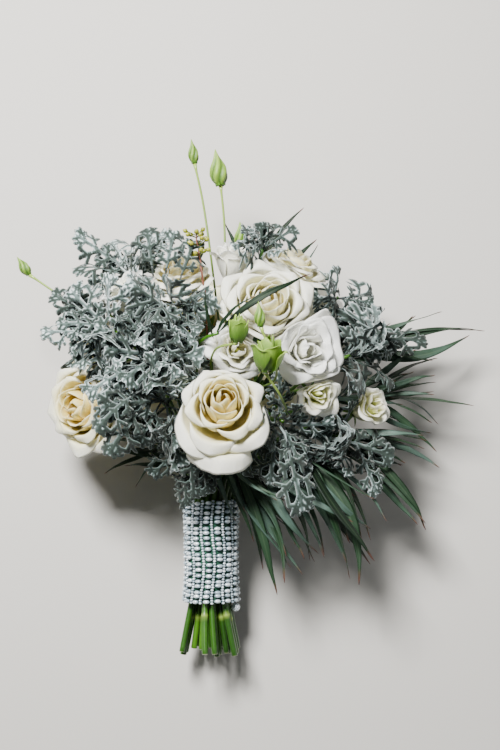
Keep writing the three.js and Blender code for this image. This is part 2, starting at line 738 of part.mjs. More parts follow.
// The first of a leaf's poses in which all but its foot clears what stands and its own bunch.
function clearLeaf(blade, thickness, poses, own) {
  const solids = [...standing, ...own];
  const free = poses.find((pose) => {
    const fat = leafSolid(blade, thickness + 2 * LEAF_GAP, pose, FOOT_SHARE);
    return solids.every((other) => fat.intersect(other).isEmpty());
  });
  if (!free) return;
  const leaf = leafSolid(blade, thickness, free);
  if (standing.every((other) => leaf.intersect(other).isEmpty())) own.push(leaf);
}

// The poses to try for a leaf that leans out from its bunch: turned, leaned and shortened a little.
function bunchPoses(root, axes, turn, lean, bend, length) {
  const poses = [];
  for (const short of LEAF_SHORTER)
    for (const less of LEAF_LEANS)
      for (const shift of LEAF_TURNS) {
        const angle = turn + shift;
        const tip = lean * less;
        const out = inAxes(axes, new THREE.Vector3(), Math.cos(angle), Math.sin(angle), 0);
        const along = out.clone().multiplyScalar(Math.sin(tip)).addScaledVector(axes.z, Math.cos(tip));
        const normal = axes.z.clone().multiplyScalar(Math.sin(tip)).addScaledVector(out, -Math.cos(tip));
        const over = bend * Math.max(0.3, less);
        poses.push({ root, along, normal, length: length * short, bend: over, cup: LEAF_CUP, sway: 0 });
      }
  return poses;
}

function silverSolids(group, inward) {
  const draw = drawer(group.seed);
  const axes = axesAlong(group.face);
  const solids = [];
  for (const [name, foot, tip] of SILVER_SINGLES) {
    if (name !== group.name) continue;
    const ends = [foot, tip].map((p) => new THREE.Vector3(...p));
    const fork = group.at.clone().addScaledVector(inward, FORK_DEPTH);
    const pose = poseBetween(...ends, new THREE.Vector3(0, 0.4, 0.9), SINGLE_BEND, LEAF_CUP, 0);
    solids.push(solidOf(sweep([fork, ends[0]], [STALK_RADIUS, STALK_RADIUS], 4)));
    clearLeaf(SILVER_BLADE, SILVER_THICKNESS, [pose], solids);
  }
  for (let k = 0; k < group.leaves; k++) {
    const turn = k * GOLDEN_ANGLE + draw() * 0.5;
    const lean = mix(0.3, 1.2, draw());
    const bend = mix(0.3, 0.9, draw());
    const length = group.length * mix(0.82, 1.1, draw());
    const root = group.at.clone().addScaledVector(inward, LEAF_SPACING * (k + 0.5));
    const poses = bunchPoses(root, axes, turn, lean, bend, length);
    clearLeaf(SILVER_BLADE, SILVER_THICKNESS, poses, solids);
  }
  return solids;
}

// Willow leaves stand one by one down the stem, each on its own arc to its own tip.
function willowSolids(group, inward) {
  const draw = drawer(group.leaves.length * 31 + group.name.length);
  const solids = [];
  for (const [back, end] of group.leaves) {
    const root = group.at.clone().addScaledVector(inward, back + 1);
    const tip = new THREE.Vector3(...end);
    const sway = mix(-0.07, 0.07, draw());
    const poses = [];
    for (const bend of WILLOW_BENDS)
      for (const shift of WILLOW_SHIFTS) {
        const moved = tip.clone().add(new THREE.Vector3(0, shift * 0.5, shift));
        poses.push(poseBetween(root, moved, new THREE.Vector3(0.1, 0.55, 0.8), bend, WILLOW_CUP, sway));
      }
    clearLeaf(WILLOW_BLADE, WILLOW_THICKNESS, poses, solids);
  }
  return solids;
}

// Seeded eucalyptus: seeds on short stalks in stars up a thin stem.
function seedSolids(group) {
  const draw = drawer(group.seed);
  const axes = axesAlong(group.face);
  const top = group.at.clone().addScaledVector(axes.z, 24);
  const solids = [solidOf(sweep([group.at, top], [SEED_STEM, SEED_STEM], 4))];
  const each = group.leaves / SEED_STARS;
  for (let star = 0; star < SEED_STARS; star++)
    for (let k = 0; k < each; k++) {
      const middle = group.at.clone().addScaledVector(axes.z, SEED_SPACING * (star + k / each));
      const angle = (k / each) * 2 * Math.PI + star + draw() * 0.4;
      const x = Math.cos(angle);
      const y = Math.sin(angle);
      const out = inAxes(axes, new THREE.Vector3(), x, y, 0.35).normalize();
      const long = group.length * mix(0.6, 1, draw());
      const along = [SEED_STEM * 0.6, long - SEED_RADIUS, long, long + SEED_RADIUS];
      const points = along.map((reach) => middle.clone().addScaledVector(out, reach));
      solids.push(solidOf(sweep(points, [SEED_STALK, SEED_STALK, SEED_RADIUS, 0.6], 3)));
    }
  return solids;
}

// The binding's covers.
function roundTube(inside, outside, top, bottom, sides) {
  const apothem = Math.cos(Math.PI / sides);
  const profile = [
    [inside / apothem, bottom],
    [outside, bottom],
    [outside, top],
    [inside / apothem, top],
    [inside / apothem, bottom],
  ];
  return new THREE.LatheGeometry(profile.map(([x, y]) => new THREE.Vector2(x, y)), sides);
}

// The net is raised where a pearl sits: every second row and every second column of its corners.
function pearlNet() {
  const rows = PEARL_ROWS * 2;
  const columns = PEARL_COLUMNS * 2;
  const middle = (PEARL_TOP - BINDING_LENGTH) / 2;
  const points = [];
  const faces = [];
  const put = (radius, k, y) => {
    const angle = (k / columns) * 2 * Math.PI;
    points.push(new THREE.Vector3(radius * Math.cos(angle), y, radius * Math.sin(angle)));
  };
  for (let i = 0; i <= rows; i++)
    for (let k = 0; k < columns; k++) {
      const y = mix(-BINDING_LENGTH, PEARL_TOP, i / rows);
      const flare = PEARL_FLARE * ((y - middle) / (PEARL_TOP - middle)) ** 2;
      const raised = ((i % 2) + (k % 2)) / 2;
      put(mix(PEARL_VALLEY, PEARL_CROWN, raised) + flare, k, y);
    }
  const quad = (a, b, c, d, flip) => {
    if (flip) faces.push(a, b, d, b, c, d);
    else faces.push(a, b, c, a, c, d);
  };
  for (let i = 0; i < rows; i++)
    for (let k = 0; k < columns; k++) {
      const next = (k + 1) % columns;
      const a = i * columns;
      quad(a + k, a + columns + k, a + columns + next, a + next, (i + k) % 2 === 1);
    }
  const low = points.length;
  const high = low + columns;
  const top = rows * columns;
  const inside = PEARL_INSIDE / Math.cos(Math.PI / columns);
  for (const y of [-BINDING_LENGTH, PEARL_TOP]) {
    for (let k = 0; k < columns; k++) put(inside, k, y);
  }
  for (let k = 0; k < columns; k++) {
    const next = (k + 1) % columns;
    quad(low + k, low + next, high + next, high + k, false);
    quad(low + k, k, next, low + next, false);
    quad(top + k, high + k, high + next, top + next, false);
  }
  return closedGeometry(points, faces);
}

// The ball-headed pin stands up into the pearl net's lower edge.
const pinAt = (y) =>
  new THREE.Vector3(PIN_RADIUS * Math.cos(PIN_ANGLE), y, PIN_RADIUS * Math.sin(PIN_ANGLE));
const PIN_CENTRE = -BINDING_LENGTH - SEAT_GAP - PIN_BALL;

function pinSolids() {
  const ball = new THREE.IcosahedronGeometry(PIN_BALL, 1).translate(...pinAt(PIN_CENTRE));
  const ends = [pinAt(PIN_CENTRE), pinAt(PIN_CENTRE + PIN_LENGTH)];
  return [solidOf(ball), solidOf(sweep(ends, [PIN_SHANK, PIN_SHANK], 6))];
}

function pinHole() {
  const top = PIN_CENTRE + PIN_LENGTH + SEAT_GAP;
  return solidOf(sweep([pinAt(PIN_CENTRE), pinAt(top)], [PIN_HOLE, PIN_HOLE], 6));
}

// The stems' ends and lean, from which each gets its place in the binding.
const stems = new Map();
function addStem(item, end, short, topRadius, hip) {
  const draw = drawer(stems.size * 7919 + 5);
  draw();
  const cut = draw() * CUT_SPREAD;
  const lean = Math.atan2(Math.hypot(end.x, end.z), end.y);
  const angle = Math.atan2(end.z, end.x);
  stems.set(item, { end, face: item.face, short, lean, angle, cut, topRadius, hip });
}
const FOLIAGE = [...SILVER_BUNCHES, ...EUCALYPTUS_SPRAYS, SEEDED_SPRAY];
for (const f of FLOWERS) {
  const end = f.at.clone().addScaledVector(f.face, -f.depth - SEAT_GAP - HIP_LENGTH);
  const wide = f.kind === ROSE ? ROSE_HIP : LISIANTHUS_HIP;
  const hip = [[HIP_LENGTH * 0.5, wide], [HIP_LENGTH, wide * 0.9]];
  addStem(f, end, false, FLOWER_STEM_TOP, hip);
}
for (const group of FOLIAGE) {
  const topRadius = group === SEEDED_SPRAY ? SEED_STEM : LEAF_STEM_TOP;
  addStem(group, group.at, !EUCALYPTUS_SPRAYS.includes(group), topRadius, []);
}
placeStems([...stems.values()]);

const bouquet = new THREE.Group();
const place = (name, solid, look) => {
  const mesh = new THREE.Mesh(geometryOf(solid), look);
  mesh.name = name;
  bouquet.add(mesh);
};

const pearls = solidOf(pearlNet()).subtract(pinHole());
const tape = solidOf(
  roundTube(TAPE_INSIDE, TAPE_INSIDE + TAPE_THICKNESS, -2, -BINDING_LENGTH + 1, TAPE_SIDES),
);
place("binding_tape", tape, TAPE);
place("pearl_net", pearls, PEARL);
place("ball_headed_pin", oneBody(pinSolids()), PEARL);
standing.push(pearls);

for (const f of FLOWERS) {
  const head = flowerHead(f);
  place(`${f.name}_petals`, head, f.kind === ROSE ? IVORY : WHITE);
  standing.push(head);
}

const flowerStems = FLOWERS.map((f) => {
  const stem = stems.get(f);
  const fan = clearFan(stem, FLOWER_FAN_STEPS);
  const solid = oneBody([stemSolid(stem, fan, FLOWER_FAN_STEPS), ...sepalSolids(f)]);
  standing.push(solid);
  return { f, fan, solid };
});
for (const { f, fan, solid } of flowerStems) {
  standing.splice(standing.indexOf(solid), 1);
  const branches = BUDS.filter((b) => b.stem === f.name).map((b) => budSolid(b, fan));
  const whole = largest(oneBody([solid, ...branches]).subtract(surface));
  place(`${f.name}_stem`, whole, GREEN);
  standing.push(whole);
}

const bare = new Map();
for (const group of FOLIAGE) {
  const stem = stems.get(group);
  const fan = clearFan(stem, LEAF_FAN_STEPS);
  const solid = largest(stemSolid(stem, fan, LEAF_FAN_STEPS).subtract(surface));
  const inward = fan.getPoint(1 - 1 / LEAF_FAN_STEPS).sub(fan.v3).normalize();
  bare.set(group, { solid, inward });
  standing.push(solid);
}
const dress = (group, solids, look) => {
  const { solid, inward } = bare.get(group);
  standing.splice(standing.indexOf(solid), 1);
  const whole = oneBody([solid, ...solids(group, inward)]);
  place(group.name, whole, look);
  standing.push(whole);
};
for (const group of SILVER_BUNCHES) dress(group, silverSolids, SILVER);
for (const group of EUCALYPTUS_SPRAYS) dress(group, willowSolids, BLUE_GREEN);
dress(SEEDED_SPRAY, seedSolids, SEED);

// Lay the bouquet on its back, with the middle of its box over the origin.
bouquet.rotation.x = TILT;
const box = new THREE.Box3().setFromObject(bouquet, true);
const middle = box.getCenter(new THREE.Vector3());
bouquet.position.set(-middle.x, -middle.y, LIE_HEIGHT);

export default bouquet;
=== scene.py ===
# %% [markdown]
# # A hand-tied bridal bouquet, laid on its back
# The bouquet holds ivory roses, white lisianthus with their buds, silver lobed leaves and long
# willow eucalyptus leaves. Its stems run down through one binding, which is taped, covered by
# strings of pearls and closed by a pin. It has no vase, so it lies on a pale surface and the camera
# looks down on it. A coarse solid of every piece is already there, so this lesson makes a finer
# piece in the place of each one and gives it its finish.

import math

import bpy
import numpy as np
from mathutils import Matrix, Vector
from mathutils.kdtree import KDTree


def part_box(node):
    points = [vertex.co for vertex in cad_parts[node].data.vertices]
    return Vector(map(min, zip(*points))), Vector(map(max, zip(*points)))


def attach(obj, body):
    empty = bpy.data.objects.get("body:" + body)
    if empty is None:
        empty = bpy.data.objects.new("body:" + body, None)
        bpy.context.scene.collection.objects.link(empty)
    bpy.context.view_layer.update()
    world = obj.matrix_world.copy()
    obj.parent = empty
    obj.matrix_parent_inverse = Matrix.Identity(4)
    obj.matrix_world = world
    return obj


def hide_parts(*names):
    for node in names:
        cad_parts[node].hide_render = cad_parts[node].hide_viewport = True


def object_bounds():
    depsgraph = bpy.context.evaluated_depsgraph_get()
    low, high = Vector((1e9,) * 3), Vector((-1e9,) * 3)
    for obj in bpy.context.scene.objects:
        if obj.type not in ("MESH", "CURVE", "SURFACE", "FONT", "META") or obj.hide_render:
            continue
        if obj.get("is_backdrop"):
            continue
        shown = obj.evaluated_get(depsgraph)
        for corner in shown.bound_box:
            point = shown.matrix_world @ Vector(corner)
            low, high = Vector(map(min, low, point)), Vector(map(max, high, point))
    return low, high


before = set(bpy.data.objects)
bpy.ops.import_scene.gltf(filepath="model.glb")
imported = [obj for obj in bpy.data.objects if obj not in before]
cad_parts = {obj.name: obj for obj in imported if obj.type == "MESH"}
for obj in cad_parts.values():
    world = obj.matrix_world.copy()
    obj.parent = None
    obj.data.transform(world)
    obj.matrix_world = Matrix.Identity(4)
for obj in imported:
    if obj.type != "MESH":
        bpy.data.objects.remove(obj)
cad_low, cad_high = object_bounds()
print("solids:", len(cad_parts), "box:", [round(v, 3) for v in (cad_high - cad_low)])

# %% [markdown]
# ## The bouquet's own axes
# A florist thinks of a bouquet standing up: its stems along one line, its face to the front. The
# sizes here are in millimetres along those axes, with +Y from the stems to the flowers, +Z to the
# front and the origin in the middle of the binding's top. The lying bouquet is turned by a small
# tilt and moved. The tape is the same both ways round, so the middle of its box gives the move.

# %% From the bouquet's axes to the scene
MM = 0.001
TILT = math.radians(9)
TAPE_MIDDLE = np.array([0.0, -46.0, 0.0])
LIE_HEIGHT = 52.0

turned = np.array(Matrix.Rotation(TILT, 3, "X"))
tape_low, tape_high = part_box("binding_tape")
moved = np.array((tape_low + tape_high) / 2) / MM - turned @ TAPE_MIDDLE


def to_scene(points):
    """Points in the bouquet's axes, in millimetres, as points of the scene in metres."""
    return (np.asarray(points, float) @ turned.T + moved) * MM


def to_bouquet(points):
    """Points of the scene as points in the bouquet's axes."""
    return (np.asarray(points, float) / MM - moved) @ turned


print("the bouquet's middle lies", round(moved[2], 2), "mm up; planned", LIE_HEIGHT)

# %% [markdown]
# ## Repeatable chance
# No two leaves on a stem are alike, yet the bouquet has to come out the same each time. A drawer of
# numbers that always starts from the same seed gives both, and it is the same drawer that the
# coarse solids were set out with, so a fine leaf falls where its coarse one is.

# %% A drawer of numbers, and mixing
GOLDEN_ANGLE = math.radians(137.508)
FULL_TURN = 2 * math.pi
# About one full turn, for where a wave starts.
PHASE = 6.28


def drawer(seed):
    """A function that gives one number from 0 to 1 after another."""
    state = [seed & 0xFFFFFFFF]

    def draw():
        state[0] = (state[0] * 1664525 + 1013904223) & 0xFFFFFFFF
        return state[0] / 4294967296

    return draw


def mix(a, b, share):
    return a + (b - a) * share


def smooth_step(low, high, value):
    share = np.clip((value - low) / (high - low), 0, 1)
    return share * share * (3 - 2 * share)


def unit(v):
    v = np.array(v, float)
    return v / np.linalg.norm(v)


def axes_along(face):
    """Three square directions as rows, the third along face and the first level."""
    up = np.array([0.0, 0.0, 1.0]) if abs(face[1]) > 0.95 else np.array([0.0, 1.0, 0.0])
    x = unit(np.cross(up, face))
    return np.array([x, np.cross(face, x), face])


some = drawer(5)
print("first numbers of drawer 5:", [round(some(), 3) for _ in range(3)])

# %% [markdown]
# ## Making a mesh from many thin parts
# A bloom is a pile of petals and a stem carries many leaves, so a piece is made from parts: each is
# a list of corners, its faces and, for each corner, three numbers that its material reads to know
# where on the petal or leaf it is. One more number gives a part its own shade. Nothing may go below
# the surface, so corners that would are laid on it, as the weight of the bouquet does.

# %% Parts and pieces
REST = 0.00015
made = []


class Part:
    def __init__(self, corners, faces, place, shade=0.5, material=0):
        self.corners, self.faces, self.place = corners, faces, place
        self.shade, self.material = shade, material


def make_piece(name, parts, materials, nodes):
    """Joins parts into one smooth mesh that stands in for some of the coarse solids."""
    faces, finish, start = [], [], 0
    for part in parts:
        for group in part.faces:
            faces.extend((group + start).tolist())
            finish.extend([part.material] * len(group))
        start += len(part.corners)
    corners = to_scene(np.concatenate([part.corners for part in parts]))
    corners[:, 2] = np.maximum(corners[:, 2], REST)
    mesh = bpy.data.meshes.new(name)
    mesh.from_pydata(corners.tolist(), [], faces)
    mesh.polygons.foreach_set("material_index", finish)
    mesh.polygons.foreach_set("use_smooth", [True] * len(faces))
    places = np.concatenate([part.place for part in parts]).astype(np.float32)
    mesh.attributes.new("place", "FLOAT_VECTOR", "POINT").data.foreach_set("vector", places.ravel())
    shades = np.concatenate([np.full(len(part.corners), part.shade) for part in parts])
    shade = mesh.attributes.new("shade", "FLOAT", "POINT")
    shade.data.foreach_set("value", shades.astype(np.float32))
    for material in materials:
        mesh.materials.append(material)
    mesh.update()
    piece = bpy.data.objects.new(name, mesh)
    bpy.context.scene.collection.objects.link(piece)
    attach(piece, "root")
    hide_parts(*nodes)
    made.append((name, sum(len(p.vertices) - 2 for p in mesh.polygons)))


def grid_faces(index):
    """The four-sided faces between the rows and columns of a grid of corner numbers."""
    a, b, c, d = index[:-1, :-1], index[:-1, 1:], index[1:, 1:], index[1:, :-1]
    return np.stack([a, b, c, d], axis=-1).reshape(-1, 4)


def two_sides(inner):
    """The corner numbers of a sheet's front and of its back, which share the corners at the rim."""
    front = np.arange(inner.size).reshape(inner.shape)
    back = front.copy()
    back[inner] = inner.size + np.arange(inner.sum())
    return front, back


def thin_sheet(middle, place, thickness, shade):
    """A petal or leaf: a closed sheet about a grid of middle points, thin at its edge."""
    normal = np.cross(np.gradient(middle, axis=1), np.gradient(middle, axis=0))
    normal /= np.maximum(np.linalg.norm(normal, axis=-1, keepdims=True), 1e-9)
    inner = np.zeros(middle.shape[:2], bool)
    inner[1:-1, 1:-1] = True
    front, back = two_sides(inner)
    lift = normal * thickness / 2
    upper = np.where(inner[..., None], middle + lift, middle)
    corners = np.concatenate([upper.reshape(-1, 3), (middle - lift)[inner]])
    places = np.concatenate([place.reshape(-1, 3), place[inner]])
    return Part(corners, [grid_faces(front), grid_faces(back)[:, ::-1]], places, shade)


def ring_faces(rings, sides):
    """The faces between rings of corners, and those that close both ends about one corner each."""
    index = np.arange(rings * sides).reshape(rings, sides)
    index = np.concatenate([index, index[:, :1]], axis=1)
    last = rings * sides
    ends = []
    for k in range(sides):
        ends.append([index[0, k], index[0, k + 1], last])
        ends.append([index[-1, k + 1], index[-1, k], last + 1])
    return [grid_faces(index)[:, ::-1], np.array(ends)]


def frames_along(points):
    """Two directions square to a line of points, carried along it without needless turning."""
    ahead = np.concatenate([points[1:], points[-1:]]) - np.concatenate([points[:1], points[:-1]])
    across = np.array([1.0, 0.0, 0.0])
    one, two = [], []
    for tangent in ahead:
        tangent = unit(tangent)
        across = unit(across - tangent * (across @ tangent))
        one.append(across)
        two.append(np.cross(across, tangent))
    return np.array(one), np.array(two)


def tube(points, radii, sides, place=None, shade=0.5, material=0, turns=0.0):
    """A round stem of changing thickness along points, closed by flat ends."""
    points, radii = np.asarray(points, float), np.asarray(radii, float)
    one, two = frames_along(points)
    turn = np.zeros(len(points)) + turns
    around = np.arange(sides) / sides * FULL_TURN + turn[:, None]
    ring = np.cos(around)[..., None] * one[:, None] + np.sin(around)[..., None] * two[:, None]
    corners = points[:, None] + ring * radii[:, None, None]
    corners = np.concatenate([corners.reshape(-1, 3), points[[0, -1]]])
    if place is None:
        share = np.linspace(0, 1, len(points))
        place = np.stack([share, share, 0 * share], axis=1)
    place = np.asarray(place, float)
    places = np.concatenate([np.repeat(place, sides, axis=0), place[[0, -1]]])
    return Part(corners, ring_faces(len(points), sides), places, shade, material)


print("helpers: make_piece, thin_sheet and tube")

# %% [markdown]
# ## Finishes
# Every finish is a Principled shader fed by a few nodes. The nodes read the three place numbers of
# a mesh, such as how far along a petal a spot is, so colour can run from a warm foot to a pale rim
# without any picture. Noise in the scene's own coordinates breaks up what would look too even.

# %% A finish maker
class Finish:
    """A material with a Principled shader, and short calls that add the nodes which feed it."""

    def __init__(self, name, **settings):
        self.material = bpy.data.materials.new(name)
        self.material.use_nodes = True
        self.nodes = self.material.node_tree.nodes
        self.shader = self.nodes["Principled BSDF"]
        self.feed_all(self.shader, settings)

    def feed(self, target, value):
        """Links another node's socket to a socket, or sets a constant on it."""
        if isinstance(value, bpy.types.NodeSocket):
            self.material.node_tree.links.new(value, target)
        else:
            target.default_value = value

    def feed_all(self, node, sockets):
        for key, value in sockets.items():
            self.feed(node.inputs[key.replace("_", " ")], value)

    def node(self, kind, **sockets):
        node = self.nodes.new(kind)
        self.feed_all(node, sockets)
        return node

    def sums(self, kind, operation, *values):
        """A node that works out a sum of the values that go into its first sockets."""
        node = self.nodes.new(kind)
        node.operation = operation
        for target, value in zip(node.inputs, values):
            self.feed(target, value)
        return node.outputs[0]

    def attribute(self, name):
        node = self.nodes.new("ShaderNodeAttribute")
        node.attribute_name = name
        return node.outputs

    def place(self):
        """The three place numbers of the mesh."""
        vector = self.attribute("place")["Vector"]
        return self.node("ShaderNodeSeparateXYZ", Vector=vector).outputs

    def shade(self):
        return self.attribute("shade")["Fac"]

    def total(self, value, *rest):
        """value plus each (socket, factor) of the rest."""
        for socket, factor in rest:
            value = self.sums("ShaderNodeMath", "MULTIPLY_ADD", socket, factor, value)
        return value

    def noise(self, scale, detail=3.0, stretch=None):
        """Noise in the scene's coordinates, or over the place numbers with a stretch for each."""
        if stretch is None:
            where = self.nodes.new("ShaderNodeTexCoord").outputs["Object"]
        else:
            vector = self.attribute("place")["Vector"]
            where = self.sums("ShaderNodeVectorMath", "MULTIPLY", vector, stretch)
        noise = self.node("ShaderNodeTexNoise", Scale=scale, Detail=detail, Vector=where)
        return noise.outputs["Fac"]

    def ramp(self, value, *stops):
        """Colours, written as sRGB hex, at places from 0 to 1."""
        node = self.node("ShaderNodeValToRGB", Fac=value)
        elements = node.color_ramp.elements
        while len(elements) < len(stops):
            elements.new(0.5)
        for element, (position, colour) in zip(elements, stops):
            element.position = position
            element.color = colour_of(colour)
        return node.outputs["Color"]

    def mixed(self, share, a, b):
        node = self.nodes.new("ShaderNodeMix")
        node.data_type = "RGBA"
        for number, value in ((0, share), (6, a), (7, b)):
            self.feed(node.inputs[number], value)
        return node.outputs[2]

    def colour(self, source):
        self.feed(self.shader.inputs["Base Color"], source)

    def bump(self, height, strength, distance):
        node = self.node("ShaderNodeBump", Strength=strength, Distance=distance, Height=height)
        self.feed(self.shader.inputs["Normal"], node.outputs["Normal"])


def colour_of(text):
    """An sRGB hex colour as the linear colour that a shader works in."""
    parts = [int(text[i : i + 2], 16) / 255 for i in (1, 3, 5)]
    linear = [c / 12.92 if c <= 0.04045 else ((c + 0.055) / 1.055) ** 2.4 for c in parts]
    return (*linear, 1.0)


print("white is", [round(c, 2) for c in colour_of("#ffffff")])

# %% [markdown]
# ### Petals
# A rose petal is thin and waxy, and light comes through it. Its foot and the crowded middle of the
# bloom have a warm colour of their own, and they are painted deeper and warmer still as a painted
# glow of that light, while its outer rim is almost white. The third place number holds that tone
# from 0, deep in the middle, to 1, at an outer rim. Fine veins run up it as a light bump.
# Lisianthus petals are whiter, and green-yellow only in the throat, so the same nodes get other
# colours.

# %% Petal finishes
def petal_finish(name, glow, *stops):
    finish = Finish(
        name,
        Roughness=0.5,
        Subsurface_Weight=0.55,
        Subsurface_Scale=0.005,
        Subsurface_Radius=glow,
        Sheen_Weight=0.12,
        Specular_IOR_Level=0.35,
    )
    tone = finish.place()[2]
    veins = finish.noise(7.0, 3.0, stretch=(6.0, 0.6, 3.0))
    patch = finish.noise(60.0, 2.0)
    even = finish.total(-0.09, (tone, 1.0), (veins, 0.09), (patch, 0.09))
    finish.colour(finish.ramp(even, *stops))
    finish.bump(finish.noise(9.0, 4.0, stretch=(9.0, 0.8, 3.0)), 0.45, 0.0015)
    return finish.material


ROSE_PETAL = petal_finish(
    "ivory rose petal",
    (1.0, 0.97, 0.66),
    (0.0, "#eab43a"), (0.25, "#f0d068"), (0.5, "#f5e396"), (0.78, "#f8f2c0"), (1.0, "#fbf9dc"),
)
LISIANTHUS_PETAL = petal_finish(
    "white lisianthus petal",
    (1.0, 0.98, 0.88),
    (0.0, "#ccd95e"), (0.2, "#e9ee98"), (0.42, "#fffbcf"), (0.65, "#fffee9"), (1.0, "#fffff8"),
)
print("petal finishes:", ROSE_PETAL.name, "and", LISIANTHUS_PETAL.name)

# %% [markdown]
# ### Silver leaves
# The silver comes from a felt of short hairs. It is palest along the rim and the raised rib, where
# the felt is thick, and grey-green where it is thin, and the underside is paler than the top. Away
# from the rim the colour is painted much darker, down to near black, and darker still towards each
# leaf's foot, deep in its bunch: that is painted shade. Sheen is what a shader has for such felt.
# The place numbers hold the distance from the rim, the share along the leaf, and the side.

# %% Silver leaf finish
silver = Finish(
    "silver felted leaf",
    Roughness=0.8,
    Sheen_Weight=0.2,
    Sheen_Roughness=0.5,
    Sheen_Tint=colour_of("#f0f2ee"),
    Specular_IOR_Level=0.25,
)
rim, along, side = silver.place()
felt = silver.noise(900.0, 3.0)
patch = silver.noise(45.0, 2.0)
# Painted shade: the ramp runs down to near black away from the rim, and each leaf is darker towards
# its foot.
tone = silver.total(
    -0.06, (rim, 0.7), (felt, 0.1), (patch, 0.2), (silver.shade(), 0.35), (along, -0.25)
)
upper = silver.ramp(tone, (0.02, "#b8c3c4"), (0.22, "#5f6f6d"), (0.5, "#29352f"), (0.95, "#0d1411"))
under = silver.ramp(tone, (0.0, "#c2cbcb"), (0.35, "#6a7877"), (0.9, "#2e3a35"))
silver.colour(silver.mixed(side, under, upper))
silver.bump(felt, 0.3, 0.0006)
SILVER_LEAF = silver.material
print("silver finish:", SILVER_LEAF.name)

# %% [markdown]
# ### Willow leaves
# Willow eucalyptus is blue-green with a grey bloom, a paler line down its middle and a red tip. Its
# blade is painted darker than the leaf is, down to near black green, as painted shade for the
# shadow that most of the blades lie in. The first place number is 0 on the rib and 1 at either
# side, so a ramp over it draws the line, and a ramp over the second, which runs along the leaf,
# gives the tip.

# %% Willow leaf finish
willow = Finish(
    "willow eucalyptus leaf",
    Roughness=0.5,
    Coat_Weight=0.06,
    Coat_Roughness=0.4,
    Specular_IOR_Level=0.3,
)
across, along, _ = willow.place()
grain = willow.noise(14.0, 3.0, stretch=(5.0, 0.7, 1.0))
cloudy = willow.noise(70.0, 2.0)
# Painted shade: the blade's ramp is darker than the leaf is, down to near black green.
blade = willow.ramp(
    willow.total(-0.22, (willow.shade(), 0.7), (grain, 0.25), (cloudy, 0.25)),
    (0.0, "#08170b"), (0.3, "#122b15"), (0.52, "#203723"),
    (0.7, "#475c54"), (0.86, "#284413"), (1.0, "#435c14"),
)
from_rib = willow.sums("ShaderNodeMath", "ABSOLUTE", across)
rib_share = willow.ramp(from_rib, (0.0, "#8a8a8a"), (0.16, "#000000"))
ribbed = willow.mixed(rib_share, blade, colour_of("#54694a"))
tip_share = willow.ramp(along, (0.9, "#000000"), (0.99, "#c8c8c8"))
willow.colour(willow.mixed(tip_share, ribbed, colour_of("#7d3f38")))
willow.bump(grain, 0.3, 0.0008)
WILLOW_LEAF = willow.material
print("leaf finish:", WILLOW_LEAF.name)

# %% [markdown]
# ### Stems, buds and seeds
# Rose stems are a clear, fresh green, paler at their joints, with fine lines along them, and pale
# wood where they are cut. The buds, closed or half open, are lime and streaked lengthwise. The
# seeds are olive with a pale cap. Each is one ramp over a place number and some noise.

# %% Stem, bud, pod and twig finishes
stem = Finish("fresh green stem", Roughness=0.35, Coat_Weight=0.3, Coat_Roughness=0.18)
_, joint, cut = stem.place()
fibre = stem.noise(420.0, 2.0)
broad = stem.noise(30.0, 2.0)
tone = stem.total(-0.2, (stem.shade(), 0.55), (fibre, 0.3), (broad, 0.4))
skin = stem.ramp(tone, (0.0, "#112e05"), (0.35, "#265107"), (0.7, "#41700e"), (1.0, "#649020"))
jointed = stem.mixed(joint, skin, colour_of("#869f42"))
stem.colour(stem.mixed(cut, jointed, colour_of("#cdd6a4")))
stem.bump(fibre, 0.2, 0.0005)
GREEN_STEM = stem.material

bud = Finish(
    "lime green bud",
    Roughness=0.5,
    Subsurface_Weight=0.2,
    Subsurface_Scale=0.004,
    Subsurface_Radius=(0.7, 1.0, 0.35),
)
_, along, tone = bud.place()
streak = bud.noise(8.0, 3.0, stretch=(8.0, 0.5, 1.0))
# Painted shade: a closed bud's third place number is low in the furrows between its ridges, so the
# furrows are darker.
shade = bud.total(-0.42, (along, 0.3), (streak, 0.6), (bud.shade(), 0.25), (tone, 0.45))
bud.colour(bud.ramp(shade, (0.0, "#263f10"), (0.35, "#46681a"), (0.7, "#779632"), (1.0, "#b0c46c")))
bud.bump(streak, 0.35, 0.001)
LIME_BUD = bud.material

pod = Finish("olive seed pod", Roughness=0.35, Coat_Weight=0.15, Coat_Roughness=0.4)
tone = pod.total(0.0, (pod.place()[0], 0.7), (pod.noise(700.0, 2.0), 0.3))
pod.colour(pod.ramp(tone, (0.0, "#414c0d"), (0.5, "#72761a"), (1.0, "#aca73c")))
SEED_POD = pod.material

twig = Finish("red-brown twig", Roughness=0.55)
twig.colour(twig.ramp(twig.noise(300.0, 2.0), (0.3, "#5b2f24"), (0.7, "#86523a")))
RED_TWIG = twig.material
print("green finishes:", [m.name for m in (GREEN_STEM, LIME_BUD, SEED_POD, RED_TWIG)])

# %% [markdown]
# ### The binding's finishes
# Florists' tape is crepe paper with wax: dark green, dull, creased across. Pearls are white under a
# clear skin, so they get a coat over a soft, faintly blue body colour. The side of a pearl that is
# turned to the tape is painted darker than its crown, down to a dark blue-grey: painted shade and a
# painted reflection of the dark green.

# %% Tape and pearl finishes
tape = Finish("dark green crepe tape", Roughness=0.6)
crease = tape.noise(50.0, 4.0, stretch=(60.0, 1.5, 1.0))
# Painted shade over the tape's own dark green: the colour follows the depth of the creases, darker
# in their hollows.
tape.colour(tape.ramp(crease, (0.3, "#063221"), (0.6, "#0c5138"), (0.8, "#1a7254")))
tape.bump(crease, 0.5, 0.0008)
CREPE_TAPE = tape.material

